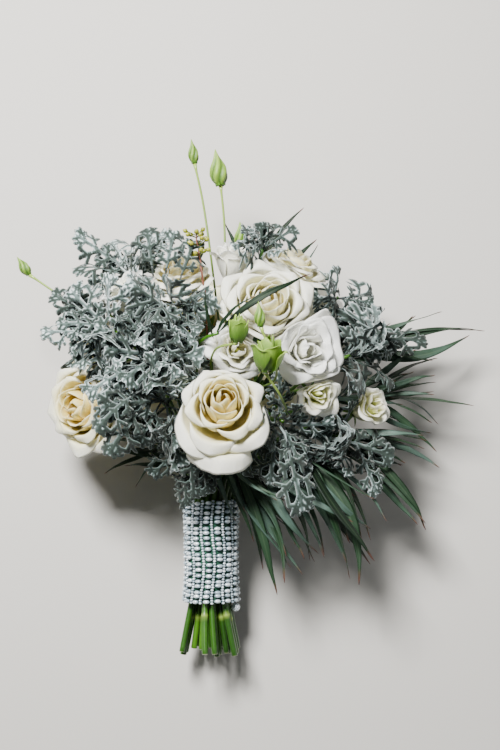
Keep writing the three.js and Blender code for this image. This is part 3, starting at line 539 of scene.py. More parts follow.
pearl = Finish(
    "pearl",
    Roughness=0.3,
    Metallic=0.25,
    Coat_Weight=1.0,
    Coat_Roughness=0.04,
    Subsurface_Weight=0.15,
    Subsurface_Scale=0.002,
    Subsurface_Radius=(0.9, 0.95, 1.0),
    Sheen_Weight=0.2,
)
crown = pearl.place()[0]
lustre = pearl.noise(160.0, 2.0)
# Painted shade and painted reflection: darker where the crown number is low, on the side turned to
# the tape.
tone = pearl.total(-0.42, (lustre, 0.45), (pearl.shade(), 0.4), (crown, 0.75))
pearl.colour(pearl.ramp(tone, (0.15, "#3f5159"), (0.5, "#94a7b2"), (0.85, "#e9f2f8")))
PEARL_SKIN = pearl.material
print("binding finishes:", CREPE_TAPE.name, "and", PEARL_SKIN.name)

# %% [markdown]
# ## The flowers' places
# Each flower has the middle of its face, the way it looks, its radius and its depth in millimetres,
# then how it is turned and how far it is open, how much longer its petals are on the side towards
# the stems, and how far its heart leans away from that side. Big roses sit low and to the sides,
# the lisianthus between them. A table holds how much paler or deeper a flower is than the rest.

# %% Flowers
# For the left rose the deeper tone is painted shade, and for the right lisianthus the paler one is
# painted light, which lifts its shaded cup.
TONE_SHIFT = {
    "rose_right": 0.32, "rose_top_right": 0.15, "rose_left": -0.1,
    "lisianthus_small": -0.36, "lisianthus_side": -0.36, "lisianthus_right": 0.3,
}


class Flower:
    def __init__(self, name, at, face, radius, depth, roll, open_=1.0, skirt=0.0, rise=0.0):
        self.name, self.is_rose = name, name.startswith("rose")
        self.at, self.face = np.array(at, float), unit(face)
        self.radius, self.depth, self.roll = radius, depth, roll
        self.open, self.skirt, self.rise = open_, skirt, rise
        self.tone = TONE_SHIFT.get(name, 0.0)
        self.middle = self.at - self.face * 0.4 * depth
        self.base = self.at - self.face * depth
        self.axes = axes_along(self.face)


FLOWERS = [
    Flower("rose_front", [13, 90, 112], [0.02, 0.24, 0.97], 39, 47, 0.4, 1, 0.42, 7),
    Flower("rose_left", [-123, 86, 52], [-0.62, 0.03, 0.78], 46, 47, 2.1, 1, 0.03),
    Flower("rose_right", [53, 182, 86], [0.15, 0.4, 0.9], 45, 47, 4.0),
    Flower("rose_top_right", [80, 222, 30], [0.4, 0.85, 0.3], 35, 42, 1.2),
    Flower("rose_top", [-28, 212, 52], [-0.15, 0.85, 0.5], 34, 42, 5.0),
    Flower("rose_left_back", [-121, 141, 8], [-0.85, 0.45, 0.1], 36, 42, 0.9),
    Flower("rose_back_left", [-66, 106, -67], [-0.5, 0, -0.87], 38, 42, 3.0),
    Flower("rose_back_right", [60, 104, -67], [0.45, 0, -0.9], 38, 42, 1.7),
    Flower("rose_back_top", [-4, 178, -71], [-0.05, 0.5, -0.86], 38, 42, 5.6),
    Flower("lisianthus_right", [89, 136, 98], [0.35, 0.1, 0.93], 36, 36, 0.5),
    Flower("lisianthus_middle", [26, 137, 84], [0.05, 0.1, 0.98], 33, 36, 2.6, 0.8),
    Flower("lisianthus_top_left", [-84, 198, 38], [-0.5, 0.75, 0.4], 29, 36, 4.4, 0.7),
    Flower("lisianthus_top", [20, 230, 38], [0, 0.95, 0.2], 27, 38, 1.1, 0.4),
    Flower("lisianthus_small", [98, 97, 88], [0.4, -0.05, 0.92], 23, 30, 3.3, 0.8),
    Flower("lisianthus_side", [150, 88, 46], [0.6, 0.25, 0.7], 22, 34, 5.2, 0.5),
    Flower("lisianthus_back", [112, 172, -42], [0.7, 0.4, -0.6], 29, 36, 0.2, 0.8),
]
print("flowers:", len(FLOWERS))

# %% [markdown]
# ## Flowers pressed against each other
# Packed flowers don't cut through one another: where two meet, their petals give way along the
# plane between them. A wall stands between each pair of near flowers, nearer to the smaller one,
# and petals that come close to it are bent back softly, never onto it. The surface under the
# bouquet is one more such wall, for the roses that the bouquet lies on.

# %% Walls between the flowers
CELL_GAP = 0.45
SQUASH_DEPTH = 9.0
FLOOR_PRESS = 5.0
DOWN = np.array([0.0, -math.sin(TILT), -math.cos(TILT)])


def walls_of(flower):
    walls = [(DOWN, LIE_HEIGHT + FLOOR_PRESS)]
    for other in FLOWERS:
        away = other.middle - flower.middle
        distance = np.linalg.norm(away)
        if other is flower or distance > flower.radius + other.radius + SQUASH_DEPTH:
            continue
        normal = away / distance
        share = (distance**2 + flower.radius**2 - other.radius**2) / (2 * distance)
        walls.append((normal, flower.middle @ normal + share - CELL_GAP))
    return walls


def press_back(points, walls):
    for normal, reach in walls:
        past = points @ normal - reach
        kept = -SQUASH_DEPTH * np.exp(-(past + SQUASH_DEPTH) / SQUASH_DEPTH)
        points = points + normal * np.where(past > -SQUASH_DEPTH, kept - past, 0)[..., None]
    return points


print("walls round the front rose:", len(walls_of(FLOWERS[0])))

# %% [markdown]
# ## A rose
# A rose is built of petals laid in a spiral, each a golden angle on from the last. The inner ones
# are small, upright and wrapped tightly; further out they are wider, lower and roll back at the
# lip, and their corners are rounded with a small point in the middle. Each petal is worked out as a
# sheet in its own two directions: across, from -1 to 1, and along, from its foot at 0 to its lip
# at 1. Blender's cloth could crumple a petal, but a real one keeps the curve that it grew in, so
# the curve is written down.

# %% Petal grids
ROSE_PETALS = 27
HIDDEN_ROSE_PETALS = 18
ROSE_PETAL_THICKNESS = 0.4
CLOSED_HEART = 4
DROOPING_SIDE = -math.pi / 2 - 0.08
TUCK = 0.16
HEART_GRID, OUTER_GRID = (15, 11), (25, 16)
FOOT_SHAPE = [(0.3, 0.75), (1.2, 1.0), (2.6, 1.0), (4.5, 0.7), (6.5, 0.1)]
ROSE_FOOT, LISIANTHUS_FOOT = 4.4, 3.6


def petal_grid(columns, rows):
    """Across and along numbers of a grid that is finest near the petal's edges."""
    u = np.linspace(-1, 1, columns)
    across = np.sign(u) * (1 - (1 - np.abs(u)) ** 1.5)
    along = 1 - (1 - np.linspace(0, 1, rows)) ** 1.35
    return np.meshgrid(across, along)


def cubic(a, b, c, d, t):
    """A smooth run from a to d that is pulled towards b and c on its way."""
    return a * (1 - t) ** 3 + 3 * b * t * (1 - t) ** 2 + 3 * c * t**2 * (1 - t) + d * t**3


def in_flower(flower, radius, angle, height):
    """Points about a flower's axis, as points in the bouquet's axes."""
    x, y, z = flower.axes
    flat = radius[..., None] * (np.cos(angle)[..., None] * x + np.sin(angle)[..., None] * y)
    return flower.base + flat + height[..., None] * z


def rose_petals(flower, count):
    """The rose's petals from its heart, q = 0, to its outermost, q = 1."""
    draw = drawer(int(flower.roll * 1000) + 17)
    R, H = flower.radius, flower.depth
    walls = walls_of(flower)
    parts = []
    for k in range(count):
        q = k / (count - 1)
        heart = max(0, 1 - k / CLOSED_HEART)
        turn = flower.roll + k * GOLDEN_ANGLE + 0.3 * (draw() - 0.5)
        drooping = bool(flower.rise) and k == count - 1
        turn = DROOPING_SIDE if drooping else turn
        size, lean = 1 + 0.08 * (draw() - 0.5), draw() - 0.5
        hand = 1 if heart else (-1) ** k
        skirt = 1 + flower.skirt * q * max(0, -math.sin(turn))
        s, t = petal_grid(*(HEART_GRID if q < 0.3 else OUTER_GRID))
        phase = PHASE * draw()
        # How far the petal's belly and lip stand from the axis, and how high its lip is.
        bulge = R * mix(0.2, 0.72, q) * mix(1, skirt, 0.5)
        lip = R * mix(0.05, 0.92, q**0.95) * mix(1, 0.6, heart) * skirt * size
        high = H * (1 - 0.36 * q**1.7) * mix(1, 0.93, heart)
        # Rounded corners, and the angle that the petal takes up round the axis.
        up = t * (1 - (0.07 if drooping else mix(0.2, 0.26, q)) * np.abs(s) ** 2.4)
        half = 0.72 if drooping else mix(1.25, 1.0, q) + 0.7 * heart
        spread = half * mix(0.35, 1, np.sin(math.pi * 0.5 * np.minimum(1, up * 1.5)))
        aside = s * spread * mix(1, mix(0.75, 0.82, q), np.maximum(0, up - 0.6) / 0.4)
        # One side tucks under the next petal, and the lip rolls back and waves.
        radius = cubic(3, bulge * 1.2, bulge, lip, up)
        radius = radius * (1 - (TUCK * (1 - q) * hand + 0.5 * heart) * s * up)
        radius = radius * (1 - mix(0.3, 0.1, q) * (1 - heart) * s**2 * up**2)
        radius = radius + R * 0.07 * lean * q * up
        point = np.exp(-((s / 0.2) ** 2))
        side = smooth_step(0.5, 1, np.abs(s))
        fold = smooth_step(mix(0.9, 0.74, q), 1.02, up) ** 1.5 * smooth_step(0.12, 0.75, q)
        radius = radius + R * fold * (0.13 + 0.05 * point + 0.05 * side)
        wave = np.sin(3.1 * s + phase) + 0.4 * np.sin(7.3 * s + 2 * phase)
        wave = wave + 0.22 * up**4 * np.sin(17 * s + 3 * phase)
        radius = radius + R * 0.035 * mix(0.3, 1, q) * up**3 * wave
        top = high * mix(1, 2 - skirt, 0.35)
        height = cubic(mix(7, 1.5, q), H * mix(0.16, 0, q), high * 0.95, top, up)
        height = height - H * mix(0.1, 0.12, q) * s * s * up
        height = height - H * fold * (0.16 - 0.06 * point + 0.12 * side)
        height = height + H * 0.025 * q * up**3 * np.cos(3.7 * s + phase)
        middle = in_flower(flower, radius, turn + aside, height)
        middle = middle + flower.axes[1] * (flower.rise * (1 - q) * up)[..., None]
        # Partly the rose's own colour and partly a painted glow: the inner petals and each petal's
        # foot get a low tone, deep and warm.
        tone = mix(0.06, 0.66, q**0.85) + 0.2 * up + 0.3 * smooth_step(0.72, 1, t)
        tone = np.clip(tone + 0.14 * side * up + flower.tone, 0, 1)
        place = np.stack([aside, up, tone], axis=-1)
        parts.append(thin_sheet(press_back(middle, walls), place, ROSE_PETAL_THICKNESS, draw()))
    return parts


def make_bloom(flower, petals, foot, petal_look):
    """The petals on the small swollen foot that they grow from."""
    heights, widths = np.array(FOOT_SHAPE).T
    points = flower.base + heights[:, None] * flower.face
    receptacle = tube(points, foot * widths, 14, [(0, 0, 0.1)] * len(points))
    nodes = [f"{flower.name}_petals"]
    make_piece(f"{flower.name}_bloom", [receptacle, *petals], [petal_look], nodes)


for flower in FLOWERS:
    if flower.is_rose:
        count = ROSE_PETALS if flower.face[2] > 0 else HIDDEN_ROSE_PETALS
        make_bloom(flower, rose_petals(flower, count), ROSE_FOOT, ROSE_PETAL)
print("roses:", made[-1])

# %% [markdown]
# ## A lisianthus
# Double lisianthus looks like a loose rose, but its petals are thinner, stand up from a narrow
# throat and have frilled edges. So the same sheet gets short waves that grow towards the edge. A
# flower that is less open keeps its petals closer to its axis, and the table of tones gives two of
# the flowers a greener middle.

# %% Lisianthus blooms
LISIANTHUS_PETAL_THICKNESS = 0.45
LISIANTHUS_GRID = (25, 13)
LISIANTHUS_PETALS = {"lisianthus_right": 17, "lisianthus_middle": 15, "lisianthus_small": 15}
OTHER_PETALS = 12


def lisianthus_petals(flower, count, walls, bellies=(0.22, 0.55), point=0.14):
    """The petals, by how wide the inmost and outermost bellies are and how pointed they end."""
    draw = drawer(int(flower.roll * 1000) + 71)
    R, H = flower.radius, flower.depth
    parts = []
    for k in range(count):
        q = k / (count - 1)
        turn = flower.roll + k * GOLDEN_ANGLE + 0.4 * (draw() - 0.5)
        size = 1 + 0.14 * (draw() - 0.5)
        s, t = petal_grid(*LISIANTHUS_GRID)
        phase = PHASE * draw()
        # The same steps as for a rose petal, with a frill in place of the rolled lip.
        wide = mix(0.06, 0.98, q**0.8) * mix(0.62, 1, flower.open) * size
        up = t * (1 - point * np.abs(s) ** 2.2)
        half = mix(1.3, 1.0, q)
        spread = half * mix(0.3, 1, np.sin(math.pi * 0.5 * np.minimum(1, up * 1.4)))
        aside = s * spread * mix(1, 0.88, np.maximum(0, up - 0.6) / 0.4)
        frill = up**2.2
        wave = R * 0.085 * frill * mix(0.45, 1.3, q)
        fine = R * 0.018 * up**5
        belly = R * mix(*bellies, q)
        radius = cubic(2.5, belly, belly, R * wide, up) * (1 - 0.12 * (1 - q) * s * up)
        radius = radius * (1 + 0.1 * aside**2 * up**2)
        radius = radius + wave * np.cos(s * 4.2 + phase) + fine * np.sin(s * 11 + 2 * phase)
        edge = smooth_step(0.72, 1.05, up)
        radius = radius + R * 0.12 * q * edge
        top = H * mix(0.98, mix(0.93, 0.66, flower.open), q**1.1)
        height = cubic(mix(5, 1, q), H * mix(0.2, 0.06, q), H * 0.75, top, up)
        height = height - H * 0.13 * s * s * up
        height = height + wave * np.sin(s * 4 + phase) + fine * np.cos(s * 12 + phase)
        height = height - H * 0.12 * q * edge
        radius = np.maximum(radius * mix(1, 0.7, max(0, 1 - 5 * q) * frill), 0.4)
        middle = press_back(in_flower(flower, radius, turn + aside, height), walls)
        tone = mix(0.28, 0.6, q) + 0.3 * up + 0.25 * smooth_step(0.7, 1, t) + flower.tone
        place = np.stack([aside, up, np.clip(tone, 0, 1)], axis=-1)
        parts.append(thin_sheet(middle, place, LISIANTHUS_PETAL_THICKNESS, draw()))
    return parts


for flower in FLOWERS:
    if not flower.is_rose:
        count = LISIANTHUS_PETALS.get(flower.name, OTHER_PETALS)
        petals = lisianthus_petals(flower, count, walls_of(flower))
        make_bloom(flower, petals, LISIANTHUS_FOOT, LISIANTHUS_PETAL)
print("lisianthus:", made[-1])

# %% [markdown]
# ## Which stems there are, and what each carries
# Every flower has its own stem, and so has every bunch of silver leaves and every spray of willow
# eucalyptus. Buds branch off from a flower's stem. The lists give, in millimetres, where each of
# them ends and which way it looks. For a willow leaf there is its own tip and how far down the
# spray its foot is, because the long leaves are what is most seen against the surface.

# %% Buds and leafy stems
# The buds of a flower's stem: where the branch leaves the stem, the points that it runs through,
# the bud's tip and its radius.
BUDS = {
    "lisianthus_top": [
        (0.62, [[2, 205, 22], [-6, 262, 20], [-14, 300, 20]], [-17, 322, 20], 4.2),
        (0.7, [[13, 214, 14], [12, 250, 12], [9, 281, 12]], [4, 314, 12], 7.2),
        (0.66, [[30, 196, 6], [33, 215, 6], [28, 226, 6]], [26, 250, 6], 5.6),
    ],
    "lisianthus_top_left": [
        (0.6, [[-92, 168, 18], [-124, 178, 26], [-160, 201, 26]], [-171, 217, 26], 4.2),
    ],
    "lisianthus_middle": [
        (0.62, [[50, 104, 74], [57, 118, 116], [44, 152, 128]], [42, 173, 129], 4.2),
        (0.6, [[2, 116, 58], [6, 134, 94], [24, 139, 116]], [27, 164, 120], 7.6),
        (0.42, [[62, 78, 66], [62, 92, 106], [48, 114, 122]], [53, 147, 127], 9),
    ],
}


class Group:
    def __init__(self, name, at, face, leaves, length=0, seed=0):
        self.name, self.at, self.face = name, np.array(at, float), unit(face)
        self.leaves, self.length, self.seed = leaves, length, seed
        self.axes = axes_along(self.face)


SILVER_BUNCHES = [
    Group("silver_leaves_middle", [-50, 136, 62], [-0.2, 0.1, 0.97], 7, 54, 11),
    Group("silver_leaves_left", [-86, 152, 44], [-0.6, 0.3, 0.74], 7, 56, 23),
    Group("silver_leaves_upper", [-34, 172, 60], [-0.15, 0.4, 0.9], 7, 52, 37),
    Group("silver_leaves_front", [-40, 92, 62], [-0.25, -0.1, 0.97], 7, 56, 41),
    Group("silver_leaves_top_left", [-70, 196, 14], [-0.4, 0.8, 0.4], 5, 56, 59),
    Group("silver_leaves_lower", [-30, 54, 48], [-0.08, -0.35, 0.93], 6, 46, 67),
    Group("silver_leaves_top", [46, 222, 44], [0.22, 0.7, 0.68], 5, 38, 77),
    Group("silver_leaves_top_right", [114, 182, 8], [0.8, 0.05, 0.6], 5, 46, 83),
    Group("silver_leaves_right", [124, 130, 30], [0.9, 0.3, 0.3], 5, 60, 97),
    Group("silver_leaves_lower_right", [64, 72, 62], [0.25, -0.3, 0.92], 6, 50, 101),
    Group("silver_leaves_low_side", [112, 58, 38], [0.65, -0.25, 0.7], 5, 52, 113),
    Group("silver_leaves_back_left", [-96, 152, -40], [-0.7, 0.4, -0.5], 5, 52, 127),
]
EUCALYPTUS_SPRAYS = [
    Group("eucalyptus_low", [22, 37, 47], [0.35, -0.85, 0.42], [
        (0, [57, -80, 40]), (4, [47, -56, 47]), (8, [80, -64, 26]),
        (12, [71, -16, 56]), (16, [97, -42, 34]), (20, [95, -54, 18]),
    ]),
    Group("eucalyptus_low_right", [84, 48, 48], [0.6, -0.7, 0.3], [
        (0, [124, -64, 52]), (5, [144, -54, 56]), (10, [121, -31, 34]),
        (15, [158, -5, 62]), (20, [129, 5, 24]), (25, [142, -47, 40]),
    ]),
    Group("eucalyptus_right", [128, 54, 22], [0.85, -0.5, 0.1], [
        (0, [194, -19, 36]), (5, [170, 31, 12]), (10, [205, 30, 2]),
        (15, [153, 20, 8]), (20, [194, 50, -6]), (25, [170, 43, 36]),
    ]),
    Group("eucalyptus_side", [152, 92, 0], [0.95, -0.1, 0], [
        (0, [237, 84, -6]), (4, [198, 70, 14]), (8, [203, 43, -14]),
        (12, [203, 104, -18]), (16, [200, 95, 10]), (20, [182, 118, 4]),
    ]),
    Group("eucalyptus_upper_right", [146, 138, -16], [0.95, 0.2, -0.1], [
        (0, [250, 155, -24]), (5, [199, 123, -2]), (10, [187, 166, -20]), (15, [196, 150, -40]),
    ]),
    Group("eucalyptus_middle", [8, 148, 92], [0.1, 0.2, 0.97], [
        (0, [86, 194, 120]), (4, [38, 178, 118]), (8, [-4, 184, 106]),
    ]),
    Group("eucalyptus_top", [44, 206, -16], [0.1, 0.97, 0.1], [
        (0, [83, 263, 6]), (5, [54, 242, 34]), (10, [12, 256, 8]), (15, [96, 238, -26]),
    ]),
    Group("eucalyptus_left", [-48, 46, 6], [-0.85, -0.25, 0.3], [
        (0, [-96, 26, 14]), (5, [-88, 40, -10]), (10, [-66, 12, 22]), (15, [-104, 54, -22]),
    ]),
]
SEEDED_SPRAY = Group("seeded_eucalyptus", [-8, 212, 66], [-0.15, 0.97, 0.15], 9, 11, 307)
FOLIAGE = [*SILVER_BUNCHES, *EUCALYPTUS_SPRAYS, SEEDED_SPRAY]
print("leafy stems:", len(FOLIAGE), "buds:", sum(map(len, BUDS.values())))

# %% [markdown]
# ## Where a stem runs
# A hand-tied bouquet is a bundle of stems: they lie side by side in the binding, each ring of
# stems round the last, all twisted the same way, and above the binding they fan out to their
# heads. The stems that lean out most are the outermost. Below, the tails open a little again. So a
# stem is its place in the bundle, a straight run through the binding, and one curve to its head.

# %% Places in the bundle
STEM_PITCH = 5.9
STEM_RADIUS = 2.7
BINDING_LENGTH = 91
TAIL_LENGTH = 48
HIDDEN_END = 12
TAIL_SPREAD = 1.6
TWIST_PER_MM = math.radians(0.15)
FAN_APEX = np.array([0.0, -90.0, 0.0])
HANDLE_SHARE = 0.35
CUT_SPREAD = 6
SEAT_GAP = 0.3
HIP_LENGTH = 9
ROSE_HIP, LISIANTHUS_HIP = 4.6, 3.4
FLOWER_STEM_TOP, LEAF_STEM_TOP, SEED_STEM = 2, 1.5, 0.9


class Stem:
    """A stem's end under its head, its thickness there, and whether it ends inside the binding."""

    def __init__(self, item, end, top, short, number):
        draw = drawer(number * 7919 + 5)
        draw()  # The first numbers of near seeds are alike, so this one isn't used.
        self.cut = draw() * CUT_SPREAD
        self.item, self.end, self.face, self.top, self.short = item, end, item.face, top, short
        self.low = HIDDEN_END - BINDING_LENGTH if short else self.cut - BINDING_LENGTH - TAIL_LENGTH
        self.lean = math.atan2(math.hypot(end[0], end[2]), end[1])
        self.angle = math.atan2(end[2], end[0])

    def radius_at(self, share):
        return mix(STEM_RADIUS, self.top, min(1, 1.6 * share))


def ring_places(ring):
    if ring == 0:
        return [(0, 0, 0)]
    places = []
    for side in range(6):
        a, b = side * math.pi / 3, (side + 1) * math.pi / 3
        for step in range(ring):
            x = ring * STEM_PITCH * mix(math.cos(a), math.cos(b), step / ring)
            z = ring * STEM_PITCH * mix(math.sin(a), math.sin(b), step / ring)
            places.append((x, z, math.atan2(z, x)))
    return sorted(places, key=lambda place: place[2])


def put_in_rings(stems):
    """Gives each stem a place, the most upright in the middle, each on the side it leans to."""
    leaning = sorted(stems, key=lambda stem: stem.lean)
    start = 0
    for ring in range(4):
        places = ring_places(ring)
        count = len(places)
        members = sorted(leaning[start : start + count], key=lambda stem: stem.angle)
        start += count

        def cost(shift):
            turns = [m.angle - places[(i + shift) % count][2] for i, m in enumerate(members)]
            return sum(math.atan2(math.sin(t), math.cos(t)) ** 2 for t in turns)

        best = min(range(count), key=cost)
        for i, stem in enumerate(members):
            stem.place = places[(i + best) % count]


def bundle_point(place, y):
    turn = TWIST_PER_MM * y
    spread = mix(1, TAIL_SPREAD, max(0, -y - BINDING_LENGTH) / TAIL_LENGTH)
    x = place[0] * math.cos(turn) - place[1] * math.sin(turn)
    z = place[0] * math.sin(turn) + place[1] * math.cos(turn)
    return np.array([x * spread, y, z * spread])


class Fan:
    """The curve of a stem from the binding to its head, with one bow that clears its neighbours."""

    def __init__(self, stem, bow):
        start = bundle_point(stem.place, 0)
        reach = np.linalg.norm(start - stem.end) * HANDLE_SHARE
        leaving = start + unit(start - FAN_APEX) * reach
        self.handles = [start, leaving, stem.end - stem.face * reach + bow, stem.end]

    def at(self, share):
        return cubic(*self.handles, share)


stems = {}
for flower in FLOWERS:
    end = flower.base - flower.face * (SEAT_GAP + HIP_LENGTH)
    stems[flower.name] = Stem(flower, end, FLOWER_STEM_TOP, False, len(stems))
for group in FOLIAGE:
    top = SEED_STEM if group is SEEDED_SPRAY else LEAF_STEM_TOP
    stems[group.name] = Stem(group, group.at, top, group not in EUCALYPTUS_SPRAYS, len(stems))
put_in_rings(list(stems.values()))
print("stems:", len(stems), "in rings of 1, 6, 12 and 18")

# %% [markdown]
# ## Following the coarse solids
# Each coarse stem was bowed sideways by as much as it took to clear its neighbours, and each leaf
# was turned or lifted in the same way. The fine pieces must follow. So every bow that may have been
# taken is worked out here, and the one is kept whose corners are all found in the coarse mesh.

# %% Finding each stem's bow
MOST_BOW = 72
BOW_STEP = 7
BOW_WAYS = 10
COARSE_SIDES = 5
COARSE_STEPS = 3
NEAR = 0.06


def corners_of(node):
    """A quick finder of the nearest corner of a coarse solid."""
    piece = bpy.data.objects[node]
    points = to_bouquet([piece.matrix_world @ v.co for v in piece.data.vertices])
    tree = KDTree(len(points))
    for i, point in enumerate(points):
        tree.insert(Vector(point), i)
    tree.balance()
    return tree


def is_corner(tree, point):
    return tree.find(Vector(point))[2] < NEAR


def coarse_rings(stem, fan):
    """The corners of a coarse stem's first two rings above the binding."""
    levels = [stem.low, 0] if stem.short else [stem.low, -BINDING_LENGTH, 0]
    shares = [i / COARSE_STEPS for i in range(1, COARSE_STEPS + 1)]
    points = [bundle_point(stem.place, y) for y in levels] + [fan.at(share) for share in shares]
    radii = [STEM_RADIUS] * len(levels) + [stem.radius_at(share) for share in shares]
    turns = [TWIST_PER_MM * y for y in levels] + [0] * COARSE_STEPS
    first = len(levels) * COARSE_SIDES
    return tube(points, radii, COARSE_SIDES, turns=turns).corners[first : first + 2 * COARSE_SIDES]


def find_fan(stem, tree):
    straight = Fan(stem, np.zeros(3))
    best, found = straight, -1
    x, y, _ = axes_along(unit(stem.end - straight.handles[0]))
    for bow in range(0, MOST_BOW + 1, BOW_STEP):
        for k in range(BOW_WAYS if bow else 1):
            turn = k * FULL_TURN / BOW_WAYS
            fan = Fan(stem, bow * (math.cos(turn) * x + math.sin(turn) * y))
            count = sum(is_corner(tree, corner) for corner in coarse_rings(stem, fan))
            if count > found:
                best, found = fan, count
    return best, found


trees, poor = {}, []
for name, stem in stems.items():
    trees[name] = corners_of(f"{name}_stem" if isinstance(stem.item, Flower) else name)
    stem.fan, found = find_fan(stem, trees[name])
    if found < COARSE_SIDES:
        poor.append((name, found))
print("stems whose bow was not found:", poor or "none")

# %% [markdown]
# ## Stems, hips and sepals
# A cut rose stem is nearly even, a little thicker at its joints, where a leaf once was; the florist
# stripped those leaves off and left pale rings. The end is cut at a slant by a knife and shows pale
# wood, though here the cut is made square, a little narrower at its edge. At the top the stem
# swells into the hip, and five narrow sepals fold back under the bloom.

# %% Stem parts
STEM_SIDES = 12
TAIL_STEP = 4.0
FAN_STEPS = 16
JOINT_DROP = 13.0
JOINT_SCATTER = 6
JOINTED_SHARE = 0.6
JOINT_SWELL = 0.16
JOINT_WIDTH = 1.8
JOINT_HALF = 1.5
JOINT_PALE, HIP_PALE = 0.8, 0.15
CUT_BEVEL = 0.5
CUT_NARROWER = 0.86
TAIL_THICKENS_OVER = 6
HIP_SHAPE = [(0.15, 0.5), (0.35, 0.75), (0.55, 0.95), (0.8, 1.0), (1.0, 0.88)]
SEPAL_DROP = 2.6
SEPAL_THICKNESS = 0.6


def stem_parts(stem, hip=0, material=0):
    """A stem from its cut end through the binding to its head, with a hip if it has one."""
    draw = drawer(int(stem.cut * 1000) + 7)
    joint = -BINDING_LENGTH - JOINT_DROP + JOINT_SCATTER * (draw() - 0.5)
    jointed = draw() < JOINTED_SHARE and not stem.short
    thick = 1 + 0.1 * (draw() - 0.5)
    levels = [stem.low, stem.low + CUT_BEVEL, *np.arange(stem.low + TAIL_STEP, -1, TAIL_STEP), 0]
    if jointed:
        levels = sorted([*levels, joint - JOINT_HALF, joint, joint + JOINT_HALF])
    rings = []
    for y in levels:
        cut = y == stem.low
        swell = math.exp(-(((y - joint) / JOINT_WIDTH) ** 2)) if jointed else 0
        below = smooth_step(-BINDING_LENGTH, -BINDING_LENGTH - TAIL_THICKENS_OVER, y)
        radius = STEM_RADIUS * (CUT_NARROWER if cut else 1) * mix(1, thick, below)
        radius = radius * (1 + JOINT_SWELL * swell)
        place = (y * 0.01, JOINT_PALE * swell, float(cut))
        rings.append((bundle_point(stem.place, y), radius, place))
    for i in range(1, FAN_STEPS + 1):
        share = i / FAN_STEPS
        rings.append((stem.fan.at(share), stem.radius_at(share), (share, 0, 0)))
    for share, size in HIP_SHAPE if hip else []:
        rings.append((stem.end + stem.face * share * HIP_LENGTH, hip * size, (1, HIP_PALE, 0)))
    points, radii, places = zip(*rings)
    return [tube(points, radii, STEM_SIDES, places, draw(), material)]


def sepal_parts(flower, foot, length, wide, spread, curl):
    """Five narrow pointed leaves about a flower's axis, folding out and back from its foot."""
    draw = drawer(int(flower.roll * 900) + 3)
    x, y, z = flower.axes
    parts = []
    for k in range(5):
        angle = flower.roll + k * FULL_TURN / 5 + 0.2 * (draw() - 0.5)
        long = length * (0.9 + 0.25 * draw())
        s, t = np.meshgrid(np.linspace(-1, 1, 5), np.linspace(0, 1, 9))
        out = np.cos(angle) * x + np.sin(angle) * y
        side = -np.sin(angle) * x + np.cos(angle) * y
        half = 0.15 * length * (1 - t) ** 0.8 * (0.75 + 0.9 * t)
        reach = wide * 0.7 + long * t * spread
        rise = 0.4 - long * curl * t**1.6 - 0.25 * half * np.abs(s)
        middle = foot + reach[..., None] * out + (s * half)[..., None] * side
        middle = middle + rise[..., None] * z
        place = np.stack([t, 0.1 * np.ones_like(t), 0 * t], axis=-1)
        parts.append(thin_sheet(middle, place, SEPAL_THICKNESS, 0.4 + 0.5 * draw()))
    return parts


print("a stem has", len(stem_parts(stems["rose_front"], ROSE_HIP)[0].corners), "corners")

# %% [markdown]
# ### Buds
# A lisianthus bud is a tight twist of petals, like a furled umbrella: swollen low down, drawn to a
# point, with five soft ridges that run round it. Thin sepals stand up against it. Two buds have
# begun to open, so each of those is built as a small green bloom.

# %% Bud parts
BRANCH_RADIUS = 1.0
BRANCH_END = np.array([1.0, 1.2, 1.9])
BUD_SIDES = 30
BUD_RINGS = 17
RIDGES, RIDGE_TURN = 5, 1.8
BRANCH_LOOK = 0.15
BUD_OUTLINE = [
    (0, 0.3), (0.06, 0.62), (0.16, 0.88), (0.3, 1), (0.48, 0.93), (0.64, 0.7), (0.8, 0.42),
    (0.92, 0.2), (1, 0.05),
]
# For the radius of a bud that has begun to open: how much wider its petals stand, and how open.
OPENING = {7.6: (1.4, 0.5), 9: (1.75, 0.9)}


def through_curve(points, steps):
    """A smooth line through points, with steps between one and the next."""
    points = np.array(points, float)
    p = np.array([2 * points[0] - points[1], *points, 2 * points[-1] - points[-2]])
    t = (np.arange(steps) / steps)[:, None]
    line = []
    for a, b, c, d in zip(p, p[1:], p[2:], p[3:]):
        square, cube = 2 * a - 5 * b + 4 * c - d, 3 * b - a - 3 * c + d
        line.extend(0.5 * (2 * b + (c - a) * t + square * t**2 + cube * t**3))
    return np.array([*line, points[-1]])


def closed_bud(foot, tip, radius, shade):
    fine = np.linspace(0, 1, BUD_RINGS)[:, None]
    points = foot + fine * (tip - foot)
    radii = radius * np.interp(fine[:, 0], *np.array(BUD_OUTLINE).T)
    place = fine * [0, 1, 0]
    bud = tube(points, radii, BUD_SIDES, place, shade, material=1)
    ring = bud.corners[:-2].reshape(BUD_RINGS, BUD_SIDES, 3)
    angle = np.arange(BUD_SIDES) / BUD_SIDES * FULL_TURN
    ridge = np.abs(np.cos(RIDGES / 2 * (angle + RIDGE_TURN * fine)))
    lobes = 0.74 + 0.34 * ridge * np.sin(math.pi * np.minimum(1, fine * 1.3)) ** 0.5
    axis = points[:, None]
    bud.corners[:-2] = (axis + (ring - axis) * lobes[..., None]).reshape(-1, 3)
    # Painted shade: the furrows between the ridges get a low number, which the bud's finish makes
    # darker.
    bud.place[:-2, 2] = ridge.ravel()
    return bud


